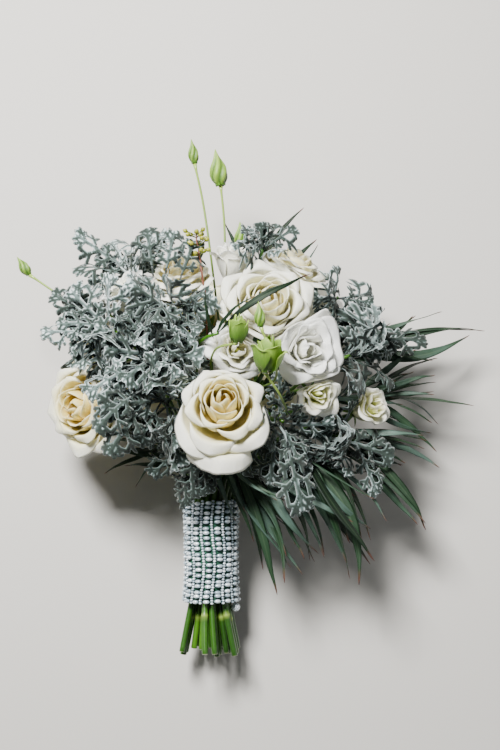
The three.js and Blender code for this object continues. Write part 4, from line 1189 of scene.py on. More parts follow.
def bud_parts(fan, start, through, tip, radius):
    line = through_curve([fan.at(start), *through], 8)
    foot, tip = line[-1], np.array(tip, float)
    radii = np.full(len(line), BRANCH_RADIUS)
    radii[-3:] = BRANCH_RADIUS * BRANCH_END
    length = np.linalg.norm(tip - foot)
    wider, open_ = OPENING.get(radius, (1, 0.5))
    little = Flower("bud", tip, tip - foot, radius * wider, length, radius, open_)
    if radius in OPENING:
        spread, bloom = 0.3, lisianthus_petals(little, 9, [], (0.45, 0.85), 0.3)
        for petal in bloom:
            petal.material = 1
    else:
        spread, bloom = 0.12, [closed_bud(foot, tip, radius * 1.1, 0.3 + 0.1 * radius)]
    sepals = sepal_parts(little, little.base, length * 0.62, radius * 0.7, spread, -0.9)
    return [tube(line, radii, 8, shade=BRANCH_LOOK), *bloom, *sepals]


for flower in FLOWERS:
    stem = stems[flower.name]
    foot = flower.base - flower.face * (SEAT_GAP + SEPAL_DROP)
    length, wide = (19, ROSE_HIP) if flower.is_rose else (14, LISIANTHUS_HIP)
    parts = stem_parts(stem, wide) + sepal_parts(flower, foot, length, wide, 0.75, 0.5)
    for bud in BUDS.get(flower.name, []):
        parts.extend(bud_parts(stem.fan, *bud))
    looks = [GREEN_STEM, LIME_BUD, LISIANTHUS_PETAL]
    make_piece(f"{flower.name}_cut_stem", parts, looks, [f"{flower.name}_stem"])
print("flower stems:", made[-1])

# %% [markdown]
# ## A silver leaf's outline
# The leaf is cut twice: a rib, three pairs of lobes, and blunt fingers on each lobe. A distance
# field draws it simply: every finger is a line with a round end, and any spot within its width
# belongs to the leaf. The fields of all the fingers blend softly, as the notches between them are
# round. A grid laid over the field, with its border corners moved onto the outline, is the leaf.

# %% The leaf's field
FINGER = 0.036
LOBES = [(0.34, 0.24, 1.1), (0.54, 0.35, 0.92), (0.76, 0.26, 0.62)]
TIP_FINGERS = [(-0.8, 0.13), (0.8, 0.13), (0.0, 0.09)]
SOFTNESS = 0.006


def way_at(turn):
    return np.array([math.sin(turn), math.cos(turn)])


def leaf_lines(variant):
    """The fingers of a leaf of length 1: start, end, and the width at either."""
    draw = drawer(variant * 101 + 9)
    lines = [((0, 0.0), (0, 0.34), 0.016, 0.022), ((0, 0.34), (0, 0.93), 0.036, 0.04)]
    for side in (-1, 1):
        for y, long, lean in LOBES:
            foot = np.array([0, y + 0.02 * side + 0.03 * (draw() - 0.5)])
            long = long * (0.88 + 0.24 * draw())
            lean = side * (lean + 0.25 * (draw() - 0.5))
            lines.append((foot, foot + way_at(lean) * long, 0.03, FINGER))
            for where, turn in ((0.5, 1.0), (0.62, -0.9)):
                branch = way_at(lean + turn * side * (0.85 + 0.3 * draw()))
                start = foot + way_at(lean) * long * where
                stop = start + branch * long * (0.36 + 0.12 * draw())
                lines.append((start, stop, FINGER * 0.8, FINGER))
    start = np.array([0, 0.88])
    for turn, long in TIP_FINGERS:
        lines.append((start, start + long * way_at(turn), 0.03, FINGER))
    return lines


def field(points, lines):
    """Distance to the outline, negative inside."""
    blend = np.zeros(len(points))
    for start, end, wide, narrow in lines:
        start, line = np.array(start, float), np.subtract(end, start)
        share = np.clip((points - start) @ line / (line @ line), 0, 1)
        away = np.linalg.norm(points - start - share[:, None] * line, axis=1)
        blend += np.exp(-(away - mix(wide, narrow, share)) / SOFTNESS)
    return -SOFTNESS * np.log(np.maximum(blend, 1e-30))


print("lines in the field of a leaf:", len(leaf_lines(0)))

# %% [markdown]
# ### From the field to a mesh
# Only triangles that lie inside the outline are kept. Their diagonals lean to and fro, so no side
# of the leaf bends more easily than the other. The border is every edge with one triangle only.

# %% Leaf shapes
LEAF_GRID = 0.026
LEAF_HALF, LEAF_FOOT, BLADE_FOOT, LEAF_TOP = 0.36, -0.012, 0.3, 1.06
LEAF_SHAPES = 6
TINY = 1e-4


def leaf_template(variant):
    lines = leaf_lines(variant)
    xs = np.arange(-LEAF_HALF, LEAF_HALF + TINY, LEAF_GRID)
    stalk = np.arange(LEAF_FOOT, BLADE_FOOT, LEAF_GRID * 1.7)
    ys = np.concatenate([stalk, np.arange(BLADE_FOOT, LEAF_TOP, LEAF_GRID)])
    grid = np.stack(np.meshgrid(xs, ys), axis=-1).reshape(-1, 2)
    distance = field(grid, lines)
    slope = [field(grid + step, lines) - distance for step in ([TINY, 0], [0, TINY])]
    slope = np.stack(slope, axis=1)
    slope /= np.maximum(np.linalg.norm(slope, axis=1, keepdims=True), 1e-12)
    near = np.abs(distance) < 0.62 * LEAF_GRID
    grid = np.where(near[:, None], grid - slope * distance[:, None], grid)
    rim = np.where(near, 0, np.maximum(-distance, 0))
    a, b, c, d = grid_faces(np.arange(len(grid)).reshape(len(ys), len(xs))).T
    flip = np.add.outer(np.arange(len(ys) - 1), np.arange(len(xs) - 1)).reshape(-1, 1) % 2 == 1
    one = np.where(flip, np.stack([a, b, d], -1), np.stack([a, b, c], -1))
    two = np.where(flip, np.stack([b, c, d], -1), np.stack([a, c, d], -1))
    faces = np.concatenate([one, two])
    faces = faces[(near | (distance < 0))[faces].all(axis=1)]
    faces = faces[field(grid[faces].mean(axis=1), lines) < 0.002]
    p, q, r = (grid[faces[:, k]] for k in range(3))
    area = (q[:, 0] - p[:, 0]) * (r[:, 1] - p[:, 1]) - (q[:, 1] - p[:, 1]) * (r[:, 0] - p[:, 0])
    used, faces = np.unique(faces[area > 1e-6], return_inverse=True)
    faces = faces.reshape(-1, 3)
    edges = np.sort(np.concatenate([faces[:, [0, 1]], faces[:, [1, 2]], faces[:, [2, 0]]]), axis=1)
    once, count = np.unique(edges, axis=0, return_counts=True)
    border = np.zeros(len(used), bool)
    border[once[count == 1]] = True
    return grid[used], np.where(border, 0, rim[used]), border, faces


LEAF_VARIANTS = [leaf_template(k) for k in range(LEAF_SHAPES)]
print("leaf shapes:", [len(faces) * 2 for _, _, _, faces in LEAF_VARIANTS], "triangles")

# %% [markdown]
# ## Laying a leaf in its pose
# A leaf sets out from its foot, bends over along its length and lets its sides hang. Worked out
# along an arc, that is the same rule that the coarse leaf follows, so a fine leaf in the pose of
# its coarse one lies where that one lay.

# %% Poses
class Pose:
    def __init__(self, root, along, normal, length, bend, cup, sway=0.0):
        self.root, self.along, self.normal = root, along, normal
        self.length, self.bend, self.cup, self.sway = length, bend, cup, sway
        self.side = np.cross(along, normal)

    def at(self, x, y, z):
        """Points at x across and y along, as shares of the length, and z millimetres up."""
        turned_by = self.bend * y
        arc = self.length / self.bend
        lift = z - self.cup * x * x * self.length
        across = x * self.length + self.sway * self.length * np.sin(math.pi * y)
        forward = arc * np.sin(turned_by) + lift * np.sin(turned_by)
        rise = lift * np.cos(turned_by) - arc * (1 - np.cos(turned_by))
        parts = ((across, self.side), (forward, self.along), (rise, self.normal))
        return self.root + sum(np.asarray(size)[..., None] * way for size, way in parts)

    def tip(self):
        return self.at(0.0, 1.0, 0.0)


def pose_between(root, tip, skyward, bend, cup, sway=0.0):
    """The pose of a bent leaf from its foot to its tip, with its upper side to the sky."""
    straight = np.linalg.norm(tip - root)
    way = (tip - root) / straight
    up = unit(skyward - way * (way @ skyward))
    half = bend / 2
    along = way * math.cos(half) + up * math.sin(half)
    normal = up * math.cos(half) - way * math.sin(half)
    return Pose(root, along, normal, straight * half / math.sin(half), bend, cup, sway)


def coarse_pose(poses, tree):
    """The pose whose tip is a corner of the coarse solid, if any is."""
    return next((pose for pose in poses if is_corner(tree, pose.tip())), None)


def spans(table, name):
    """The foot and the tip of each leaf that a table holds for one bunch or spray."""
    return [np.array(ends, float) for ends in table.get(name, [])]


some_pose = pose_between(np.zeros(3), np.array([0, 50, 0]), np.array([0, 0, 1]), 0.5, 0.9)
print("a bent leaf 50 mm from foot to tip is", round(some_pose.length, 2), "mm long")

# %% [markdown]
# ### One silver leaf
# The fine leaf adds what is too small for the coarse one: lobes that curl each their own way, a
# raised rib and a felted rim. A cloth simulation could curl it too, but then the leaf wouldn't keep
# to its pose. So the curl is a wave over the leaf that grows with the distance from its rib.

# %% A silver leaf
SILVER_THICKNESS = 0.7
LEAF_CUP = 0.9
CURL = 0.105
RIM_WIDTH = 0.03
RIB_WIDTH = 0.012
STALK_END = 0.33


def silver_leaf(pose, variant, draw, width=1.0):
    at, from_rim, border, faces = LEAF_VARIANTS[variant % LEAF_SHAPES]
    x, y = at[:, 0] * width, np.clip(at[:, 1], 0, 1.04)
    out = np.abs(x)
    phase, swing = PHASE * draw(), draw() - 0.5
    L = pose.length
    curl = CURL * L * (out / 0.25) ** 1.4 * np.sin(8 * (y - 0.6 * out) + phase + 2.5 * np.sign(x))
    wave = 0.007 * L * np.sin(15 * y + 9 * x + phase) * np.minimum(1, out / 0.12)
    roll = -0.12 * L * (out / 0.3) ** 2.5 + swing * L * x * 0.35 * smooth_step(0.3, 1, y)
    lift = curl + wave + roll
    rib = np.exp(-((x / RIB_WIDTH) ** 2))
    rim = np.minimum(1, from_rim / RIM_WIDTH)
    body = SILVER_THICKNESS / 2 * rim**0.6 + np.where(y < STALK_END, 0.35 * (from_rim > 0), 0)
    top = pose.at(x, y, lift + np.where(border, 0, body + rib * 0.25 * (y < 0.95)))
    bottom = pose.at(x, y, lift - body)[~border]
    _, back = two_sides(~border)
    upper = np.stack([rim * (1 - 0.5 * rib), y, np.ones_like(y)], axis=1)
    under = upper[~border] * [1, 1, 0]
    corners, places = np.concatenate([top, bottom]), np.concatenate([upper, under])
    return Part(corners, [faces[:, ::-1], back[faces]], places, draw())


print("corners of one silver leaf:", len(silver_leaf(some_pose, 0, drawer(1)).corners))

# %% [markdown]
# ## Room for more leaves
# The coarse bunch has five to seven of its leaves, and the real one is denser. More leaves are set
# between them, lower on the stem, but only where there is room: a few spots of the leaf are tried,
# and none may lie in a bloom, under the surface, outside the bouquet's box or, for a silver leaf,
# outside the round that the bouquet has when it is seen from its front.

# %% Is there room?
SURFACE_GAP = 1.0
TEST_X = np.array([0, 0, 0, 0.2, -0.2, 0.15, -0.15, 0.1, -0.1])
TEST_Y = np.array([0.5, 0.75, 1, 0.7, 0.7, 0.9, 0.9, 0.5, 0.5])
ROUND_OF_LEAVES = [
    (-150, 150), (-146, 172), (-126, 205), (-118, 246), (-50, 250), (0, 242), (60, 250), (84, 236),
    (112, 200), (152, 178), (192, 166), (206, 120), (170, 40), (130, -6), (20, -8), (-22, 0),
    (-28, 24), (-46, 48), (-98, 56), (-140, 72), (-152, 120),
]


def is_within(outline, x, y):
    """Whether a line from a spot to the right crosses the outline an odd number of times."""
    crossed = np.zeros(len(x), bool)
    for (ax, ay), (bx, by) in zip(outline, outline[1:] + outline[:1]):
        passes = (ay > y) != (by > y)
        at = ax + (y - ay) / (by - ay if by != ay else 1) * (bx - ax)
        crossed ^= passes & (x < at)
    return crossed


def spots_of(pose):
    return pose.at(TEST_X, TEST_Y, np.zeros(len(TEST_X)))


def is_free(pose, outline=None):
    """Whether a leaf's spots clear the blooms, the surface, the bouquet's box and an outline."""
    spots = spots_of(pose)
    if outline and not is_within(outline, spots[:, 0], spots[:, 1]).all():
        return False
    lying = to_scene(spots)
    if lying[:, 2].min() < SURFACE_GAP * MM or (lying < cad_low).any() or (lying > cad_high).any():
        return False
    for flower in FLOWERS:
        away = spots - (flower.at - flower.face * 0.45 * flower.depth)
        rise = away @ flower.face
        flat = np.linalg.norm(away - rise[:, None] * flower.face, axis=1)
        if ((flat / (flower.radius * 0.97)) ** 2 + (rise / (flower.depth * 0.58)) ** 2 < 1).any():
            return False
    return True


inside, outside = is_within(ROUND_OF_LEAVES, np.array([0, 0]), np.array([130, 300]))
print("a spot in the round:", inside, "and one above it:", outside)

# %% [markdown]
# ## Silver bunches
# Dusty miller grows its leaves in a bunch, each a golden angle on from the last, leaning out more
# the older it is. A few leaves stand out singly from their bunch, and a few more hang over the
# stems and beside the left rose. Chance would hardly put them there, so a table does.

# %% Silver leaves that have their own places
# For each bunch its leaves' feet and tips: first those of the coarse solids, then fine ones only.
SILVER_SINGLES = {
    "silver_leaves_lower_right": [([65, 62, 80], [80, -4, 84])],
    "silver_leaves_top_left": [([-76, 205, 14], [-121, 238, 16])],
    "silver_leaves_left": [([-98, 148, 52], [-147, 150, 44]), ([-96, 160, 46], [-140, 184, 30])],
    "silver_leaves_lower": [([-24, 38, 52], [-20, -2, 50])],
    "silver_leaves_right": [([138, 144, 34], [190, 142, 34])],
    "silver_leaves_low_side": [([128, 52, 48], [146, 8, 50])],
}
HANGING = {
    "silver_leaves_lower": [
        ([-24, 48, 56], [-21, 14, 48]), ([-16, 50, 60], [-14, 5, 50]), ([-8, 50, 60], [-1, 9, 52]),
    ],
    "silver_leaves_lower_right": [
        ([50, 66, 70], [30, 26, 62]), ([58, 66, 72], [52, 18, 66]), ([62, 78, 70], [60, 116, 74]),
    ],
    "silver_leaves_upper": [
        ([-38, 194, 72], [-30, 237, 62]), ([-48, 196, 66], [-54, 240, 52]),
        ([-26, 190, 74], [-12, 228, 66]),
    ],
    "silver_leaves_front": [
        ([-58, 100, 80], [-96, 66, 90]), ([-62, 120, 78], [-104, 96, 88]),
        ([-54, 88, 74], [-86, 44, 82]),
    ],
}
SINGLE_BEND, HANGING_BEND = 0.5, 0.9
SINGLE_SKYWARD, HANGING_SKYWARD = [0, 0.4, 0.9], [0, 0.3, 0.95]
SINGLE_WIDTH = 0.8
FORK_DEPTH = 8
STALK_TONE = 0.3


def single_leaf(group, inward, foot, tip, number, draw):
    """A leaf that stands out from its bunch on a stalk of its own, if the coarse solid has it."""
    fork = group.at + inward * FORK_DEPTH
    pose = pose_between(foot, tip, SINGLE_SKYWARD, SINGLE_BEND, LEAF_CUP)
    line = [fork, mix(fork, foot, 0.5), foot, pose.at(0.0, 0.1, 0.0)]
    stalk = tube(line, [1, 1, 0.9, 0.5], 8)
    stalk.place[:, 0] = STALK_TONE
    if is_corner(trees[group.name], pose.tip()):
        return [stalk, silver_leaf(pose, number, draw, SINGLE_WIDTH)]
    absent.append(group.name)
    return [stalk]


absent = []
print("bunches with single leaves:", len(SILVER_SINGLES), "and with hanging ones:", len(HANGING))

# %% [markdown]
# ### The leaves of a bunch
# Each coarse leaf is made first, in the first pose whose tip is a corner of its coarse solid. The
# hanging leaves follow, and last the extra ones, until the bunch is full. The upper bunches are
# painted paler and the lower ones darker, as painted light and painted shade, so most bunches shift
# the shade of their leaves a little.

# %% Silver leaves in their bunches
LEAF_SPACING = 3.4
LEAF_TURNS = [0, 0.35, -0.35, 0.7, -0.7, 1.1, -1.1]
LEAF_LEANS = [1, 0.65, 1.35, 0.35]
LEAF_SHORTER = [1, 0.8]
EXTRA_LEAVES = {
    "silver_leaves_middle": 11, "silver_leaves_left": 12, "silver_leaves_upper": 9,
    "silver_leaves_front": 13, "silver_leaves_lower": 8, "silver_leaves_top_left": 9,
}
OTHER_EXTRAS = 5
TRIES_FOR_EACH = 4
EXTRA_FEET = 26
# Painted light and painted shade: how much paler each bunch is made; a value below 0 makes it
# darker.
PAINTED_LIGHT_AND_SHADE = {
    "silver_leaves_top_left": 0.45, "silver_leaves_upper": 0.3, "silver_leaves_left": 0.3,
    "silver_leaves_top": 0.25, "silver_leaves_lower": -0.25, "silver_leaves_middle": -0.1,
}


def leaning_pose(root, axes, angle, tip, bend, length):
    x, y, z = axes
    out = math.cos(angle) * x + math.sin(angle) * y
    along = out * math.sin(tip) + z * math.cos(tip)
    normal = z * math.sin(tip) - out * math.cos(tip)
    return Pose(root, along, normal, length, bend, LEAF_CUP)


def bunch_poses(root, axes, turn, lean, bend, length):
    """Every pose that a coarse leaf may have taken to clear its neighbours."""
    for short in LEAF_SHORTER:
        for less in LEAF_LEANS:
            for shift in LEAF_TURNS:
                over = bend * max(0.3, less)
                yield leaning_pose(root, axes, turn + shift, lean * less, over, length * short)


def extra_leaves(group, inward, number, draw):
    """Leaves at chance places of a bunch, where there is room for them."""
    leaves = []
    wanted = EXTRA_LEAVES.get(group.name, OTHER_EXTRAS)
    for k in range(wanted * TRIES_FOR_EACH):
        if len(leaves) == wanted:
            break
        turn = (k + 0.5) * GOLDEN_ANGLE + draw() * 0.8
        lean = mix(0.1, 1.35, draw())
        length = group.length * mix(0.7, 1.1, draw())
        root = group.at + inward * (EXTRA_FEET * draw() - 3)
        pose = leaning_pose(root, group.axes, turn, lean, mix(0.3, 1.1, draw()), length)
        if is_free(pose, ROUND_OF_LEAVES):
            leaves.append(silver_leaf(pose, number + k, draw))
    return leaves


for number, group in enumerate(SILVER_BUNCHES):
    stem, tree = stems[group.name], trees[group.name]
    inward = unit(stem.fan.at(2 / 3) - stem.end)
    draw, own = drawer(group.seed), drawer(group.seed * 13 + 1)
    parts = stem_parts(stem, material=1)
    for foot, tip in spans(SILVER_SINGLES, group.name):
        parts.extend(single_leaf(group, inward, foot, tip, number, own))
    for k in range(group.leaves):
        turn = k * GOLDEN_ANGLE + draw() * 0.5
        lean, bend = mix(0.3, 1.2, draw()), mix(0.3, 0.9, draw())
        length = group.length * mix(0.82, 1.1, draw())
        root = group.at + inward * LEAF_SPACING * (k + 0.5)
        pose = coarse_pose(bunch_poses(root, group.axes, turn, lean, bend, length), tree)
        if pose:
            parts.append(silver_leaf(pose, number + k, own))
        else:
            absent.append((group.name, k))
    for foot, tip in spans(HANGING, group.name):
        pose = pose_between(foot, tip, HANGING_SKYWARD, HANGING_BEND, LEAF_CUP)
        parts.append(silver_leaf(pose, len(parts), own))
    parts.extend(extra_leaves(group, inward, number, own))
    # Painted light and shade: the upper bunches' leaves and stalks are made paler, the lower ones'
    # darker.
    for part in parts:
        if part.material == 0:
            part.shade -= PAINTED_LIGHT_AND_SHADE.get(group.name, 0.0)
    looks = [SILVER_LEAF, GREEN_STEM]
    make_piece(f"{group.name}_bunch", parts, looks, [group.name])
    print(group.name, "parts:", len(parts))
print("leaves that the coarse solids lack too:", absent)

# %% [markdown]
# ## Willow eucalyptus
# The long leaves hang singly from a thin stem, on short stalks. Each is a narrow blade, folded a
# little along its middle, that twists on its way to a fine tip. It is one sheet, as a petal is, and
# its outline is a short list of widths.

# %% A willow leaf
WILLOW_THICKNESS = 0.6
WILLOW_CUP = 3
WILLOW_WIDTH = 1.04
WILLOW_COLUMNS, WILLOW_ROWS = 7, 31
WILLOW_OUTLINE = [
    (0, 0.008), (0.04, 0.008), (0.1, 0.022), (0.2, 0.033), (0.32, 0.038), (0.48, 0.037),
    (0.62, 0.031), (0.76, 0.021), (0.88, 0.011), (0.95, 0.006), (1, 0.002),
]


def willow_leaf(pose, draw):
    s, t = np.meshgrid(np.linspace(-1, 1, WILLOW_COLUMNS), np.linspace(0, 1, WILLOW_ROWS))
    half = np.interp(t, *np.array(WILLOW_OUTLINE).T) * WILLOW_WIDTH * (0.75 + 0.45 * draw())
    twist = mix(-1.2, 1.2, draw()) * t + 0.4 * np.sin(4 * t + 6 * draw())
    fold = 0.22 * np.abs(s) * half * pose.length
    rise = s * half * pose.length * np.sin(twist) + fold * np.cos(twist)
    edge = 0.25 * np.sin(18 * t + 3 * s) * np.abs(s)
    hook = mix(-5, 5, draw()) * smooth_step(0.75, 1, t)
    belly = 0.035 * mix(-1, 1, draw()) * np.sin(math.pi * t)
    flick = 0.04 * (draw() - 0.5) * smooth_step(0.8, 1, t)
    middle = pose.at(s * half * np.cos(twist) + belly + flick, t, rise + edge + hook)
    place = np.stack([s, t, np.ones_like(s)], axis=-1)
    return thin_sheet(middle, place, WILLOW_THICKNESS, draw())


print("corners of one willow leaf:", len(willow_leaf(some_pose, drawer(1)).corners))

# %% [markdown]
# ### The sprays
# Each coarse blade is made first, found by its tip as the silver leaves are. Most sprays get a few
# more between them, because the real ones are fuller, but none in front of the pearls.

# %% Willow sprays
WILLOW_BENDS = [0.5, 0.25, 0.8, -0.3]
WILLOW_SHIFTS = [0, 8, -8, 16, -16, 24]
WILLOW_SKYWARD = np.array([0.1, 0.55, 0.8])
EXTRA_WILLOW = {"eucalyptus_middle": 0, "eucalyptus_top": 2, "eucalyptus_left": 3}
OTHER_WILLOW = 12
WILLOW_TRIES = 3
WILLOW_FEET = 46
WILLOW_SPREAD = 50
PEARL_SIDE = 26
# The part of its shade that a spray in the shadow of its neighbours keeps.
SHADED = {"eucalyptus_middle": 0.2}
# Fine leaves that hang over the stems above the binding: their feet and tips.
HANGING_WILLOW = {
    "eucalyptus_low": [
        ([-2, 48, 42], [22, -16, 42]), ([6, 46, 46], [40, -34, 44]), ([12, 44, 42], [30, -6, 52]),
        ([0, 44, 36], [14, 2, 44]),
    ],
}


def willow_pose(foot, tip, bend, sway):
    return pose_between(foot, tip, WILLOW_SKYWARD, bend, WILLOW_CUP, sway)


def hides_binding(pose):
    """Whether a leaf hangs in front of the binding."""
    x, y, _ = spots_of(pose).T
    return ((y < 0) & (np.abs(x) < PEARL_SIDE)).any()


def extra_willow(group, inward, draw):
    leaves = []
    wanted = EXTRA_WILLOW.get(group.name, OTHER_WILLOW)
    for k in range(wanted * WILLOW_TRIES):
        if len(leaves) == wanted:
            break
        aside = np.array([draw() - 0.5, draw() - 0.5, draw() - 0.5]) * WILLOW_SPREAD
        foot = group.at + inward * (4 + WILLOW_FEET * draw()) + 0.3 * aside
        tip = group.leaves[k % len(group.leaves)][1] + aside
        tip = mix(foot, tip, 0.7 + 0.28 * draw())
        sway = mix(-0.16, 0.16, draw())
        pose = willow_pose(foot, tip, 0.25 + 0.7 * draw(), sway)
        if is_free(pose) and not hides_binding(pose):
            leaves.append(willow_leaf(pose, draw))
    return leaves


for group in EUCALYPTUS_SPRAYS:
    stem, tree = stems[group.name], trees[group.name]
    inward = unit(stem.fan.at(2 / 3) - stem.end)
    draw = drawer(len(group.leaves) * 31 + len(group.name))
    own = drawer(len(group.name) * 7 + int(group.at[0]) + 500)
    parts = stem_parts(stem, material=1)
    for number, (back, tip) in enumerate(group.leaves):
        root = group.at + inward * (back + 1)
        sway = mix(-0.07, 0.07, draw())
        tries = [(bend, shift) for bend in WILLOW_BENDS for shift in WILLOW_SHIFTS]
        poses = (willow_pose(root, np.add(tip, [0, s * 0.5, s]), bend, sway) for bend, s in tries)
        pose = coarse_pose(poses, tree)
        if pose:
            parts.append(willow_leaf(pose, own))
            parts[-1].shade *= SHADED.get(group.name, 1.0)
        else:
            absent.append((group.name, number))
    for foot, tip in spans(HANGING_WILLOW, group.name):
        parts.append(willow_leaf(willow_pose(foot, tip, 0.6, 0.05), own))
    parts.extend(extra_willow(group, inward, own))
    looks = [WILLOW_LEAF, GREEN_STEM]
    make_piece(f"{group.name}_spray", parts, looks, [group.name])
print("willow leaves missing in the solids:", absent)

# %% [markdown]
# ## Seeded eucalyptus
# The seeds sit in little stars on a thin red stem. Each is a round pod on a short stalk with a
# pointed cap, which a flower will push off one day.

# %% Seeded spray
SEED_STARS = 3
SEED_SPACING = 8
PODS = 8
TWIG_LENGTH, TWIG_RINGS = 24, 9
POD_STALK = [(0.5, 0.45), (0.6, 0.45)]
POD_SHAPE = [
    (-1.9, 0.6), (-1.2, 1.5), (0, 2.05), (0.9, 1.85), (1.5, 1.35), (2.1, 0.8), (2.7, 0.15),
]


def pod_part(middle, out, long, shade):
    """A pod on its stalk: its rings as how far each is out and how wide it is."""
    (start, thin), (half, _) = POD_STALK
    rings = [(start, thin), (long * half, thin), *((long + more, wide) for more, wide in POD_SHAPE)]
    reach, radii = np.array(rings).T
    place = np.repeat(np.linspace(0, 1, len(reach))[:, None], 3, axis=1)
    return tube(middle + reach[:, None] * out, radii, 12, place, shade)


group = SEEDED_SPRAY
draw = drawer(group.seed)
x, y, z = group.axes
top = np.linspace(0, TWIG_LENGTH, TWIG_RINGS)[:, None]
line = group.at + top * z + 0.5 * np.sin(top * 0.5) * x
parts = stem_parts(stems[group.name], material=1)
parts.append(tube(line, np.linspace(SEED_STEM, 0.5, TWIG_RINGS), 8, material=1))
for star in range(SEED_STARS):
    for k in range(PODS):
        middle = group.at + z * SEED_SPACING * (star + 0.35 + 0.25 * (k % 2))
        angle = k * 2.4 + star + draw() * 0.4
        out = unit(math.cos(angle) * x + math.sin(angle) * y + mix(0.2, 0.7, draw()) * z)
        long = group.length * mix(0.55, 0.95, draw())
        parts.append(pod_part(middle, out, long, draw()))
looks = [SEED_POD, RED_TWIG]
make_piece("seeded_eucalyptus_spray", parts, looks, ["seeded_eucalyptus"])
print("seeded spray:", made[-1])

# %% [markdown]
# ## The binding
# The florist winds crepe tape up the bundle in overlapping turns, then wraps strings of pearls over
# it: oval pearls lie crosswise in rows, with little round pearls in chains between the columns.
# The wrap is a tube whose surface steps out a little at every turn of the tape.

# %% Tape
TAPE_INSIDE = 20.85
TAPE_TURN = 11.0
TAPE_STEP = 0.45
TAPE_OUTSIDE = 21.3
TAPE_TOP, TAPE_BOTTOM = -2.0, -90.0
TAPE_LEVELS, TAPE_COLUMNS = 100, 48

levels = np.linspace(TAPE_BOTTOM, TAPE_TOP, TAPE_LEVELS)
angles = np.arange(TAPE_COLUMNS) / TAPE_COLUMNS * FULL_TURN
height, around = np.meshgrid(levels, angles, indexing="ij")
turn = np.mod(height / TAPE_TURN + around / FULL_TURN, 1)
inside = np.full((1, TAPE_COLUMNS), TAPE_INSIDE)
outside = TAPE_OUTSIDE + TAPE_STEP * (1 - turn) * smooth_step(0, 0.06, turn)
radius = np.concatenate([inside, outside, inside])
height, around = (np.concatenate([grid[:1], grid, grid[-1:]]) for grid in (height, around))
corners = np.stack([radius * np.cos(around), height, radius * np.sin(around)], axis=-1)
place = np.stack([height / BINDING_LENGTH, around / PHASE, 0 * height], axis=-1)
index = np.pad(np.arange(radius.size).reshape(radius.shape), (0, 1), mode="wrap")
wrap = Part(corners.reshape(-1, 3), [grid_faces(index)], place.reshape(-1, 3))
make_piece("binding_wrap", [wrap], [CREPE_TAPE], ["binding_tape"])
print("tape:", made[-1])

# %% [markdown]
# ### Pearls
# Pearls are turned one by one from a sphere. An oval pearl is as long as it is because its string
# runs along it; the small round ones have their string up and down.

# %% A pearl
def ball_part(middle, ways, sizes, columns, rows, shade, painted_tape_side=False):
    """A rounded pearl: middle, three square directions and its three half sizes."""
    around = np.arange(columns) / columns * FULL_TURN
    down_by = np.arange(1, rows) / rows * math.pi
    d, a = np.meshgrid(down_by, around, indexing="ij")
    flat = np.stack([np.sin(d) * np.cos(a), np.sin(d) * np.sin(a), np.cos(d)], axis=-1)
    ball = np.concatenate([flat.reshape(-1, 3), [[0, 0, 1], [0, 0, -1]]])
    place = np.ones(ball.shape)
    # Painted shade and painted reflection: the crown number runs from 0 on the side turned to the
    # tape to 1 on the crown.
    if painted_tape_side:
        place[:, 0] = 0.5 + 0.5 * ball[:, 2]
    return Part(middle + (ball * sizes) @ ways, ring_faces(rows - 1, columns), place, shade)


print("faces of a pearl:", [len(group) for group in ring_faces(7, 12)])

# %% [markdown]
# ### The net
# Twenty rings of oval pearls go round the tape, and chains of round pearls run up between their
# columns. The strings were wound by hand, so the rows aren't quite even and the columns wander.
# Each pearl is set at an angle and a height, with a little chance in both.

# %% The net of pearls
PEARL_ROWS, PEARL_COLUMNS = 20, 15
PEARL_RADIUS = 23.0
PEARL_FLARE = 2.0
PEARL_TOP = 2.0
OVAL, OVAL_GRAIN = (3.1, 1.85, 2.1), (12, 8)
ROUND, ROUND_GRAIN = (1.52, 1.18, 1.5), (8, 6)
ROUND_SINKS = 0.4
ROUNDS_PER_ROW = 2
WANDER = 0.06
SAG = 0.55
UNEVEN = 0.45


def on_net(angle, y):
    """The place and the three directions at an angle round the binding: around, up and out."""
    middle = (PEARL_TOP - BINDING_LENGTH) / 2
    flare = PEARL_FLARE * ((y - middle) / (PEARL_TOP - middle)) ** 2
    out = np.array([math.cos(angle), 0, math.sin(angle)])
    up = np.array([0.0, 1.0, 0.0])
    return out * (PEARL_RADIUS + flare) + up * y, np.array([np.cross(up, out), up, out])


draw = drawer(77)
pearls = []
row_pitch = (PEARL_TOP + BINDING_LENGTH) / PEARL_ROWS
for row in range(PEARL_ROWS):
    for column in range(PEARL_COLUMNS):
        sag = SAG * math.sin(0.9 * column + 0.35 * row) + 1.0 * (draw() - 0.5)
        sag += UNEVEN * math.sin(2.6 * row)
        for k in range(ROUNDS_PER_ROW + 1):
            oval = k == ROUNDS_PER_ROW
            wander = WANDER * math.sin(0.42 * row + 0.5 * column) + 0.02 * (draw() - 0.5)
            angle = (column + (0 if oval else 0.5)) / PEARL_COLUMNS * FULL_TURN + wander
            share = 0.5 if oval else (k + 0.5) / ROUNDS_PER_ROW
            middle, ways = on_net(angle, -BINDING_LENGTH + row_pitch * (row + share) + sag * oval)
            if not oval:
                middle = middle - ways[2] * ROUND_SINKS
            sizes, grain = (OVAL, OVAL_GRAIN) if oval else (ROUND, ROUND_GRAIN)
            pearls.append(ball_part(middle, ways, sizes, *grain, draw(), painted_tape_side=True))
make_piece("pearl_strands", pearls, [PEARL_SKIN], ["pearl_net"])
print("pearls:", len(pearls), made[-1])

# %% [markdown]
# ### The pin
# A pin with a ball of pearls closes the wrap at its lower edge. Its steel shank goes up between the
# tape and the pearls, so only the ball is seen.

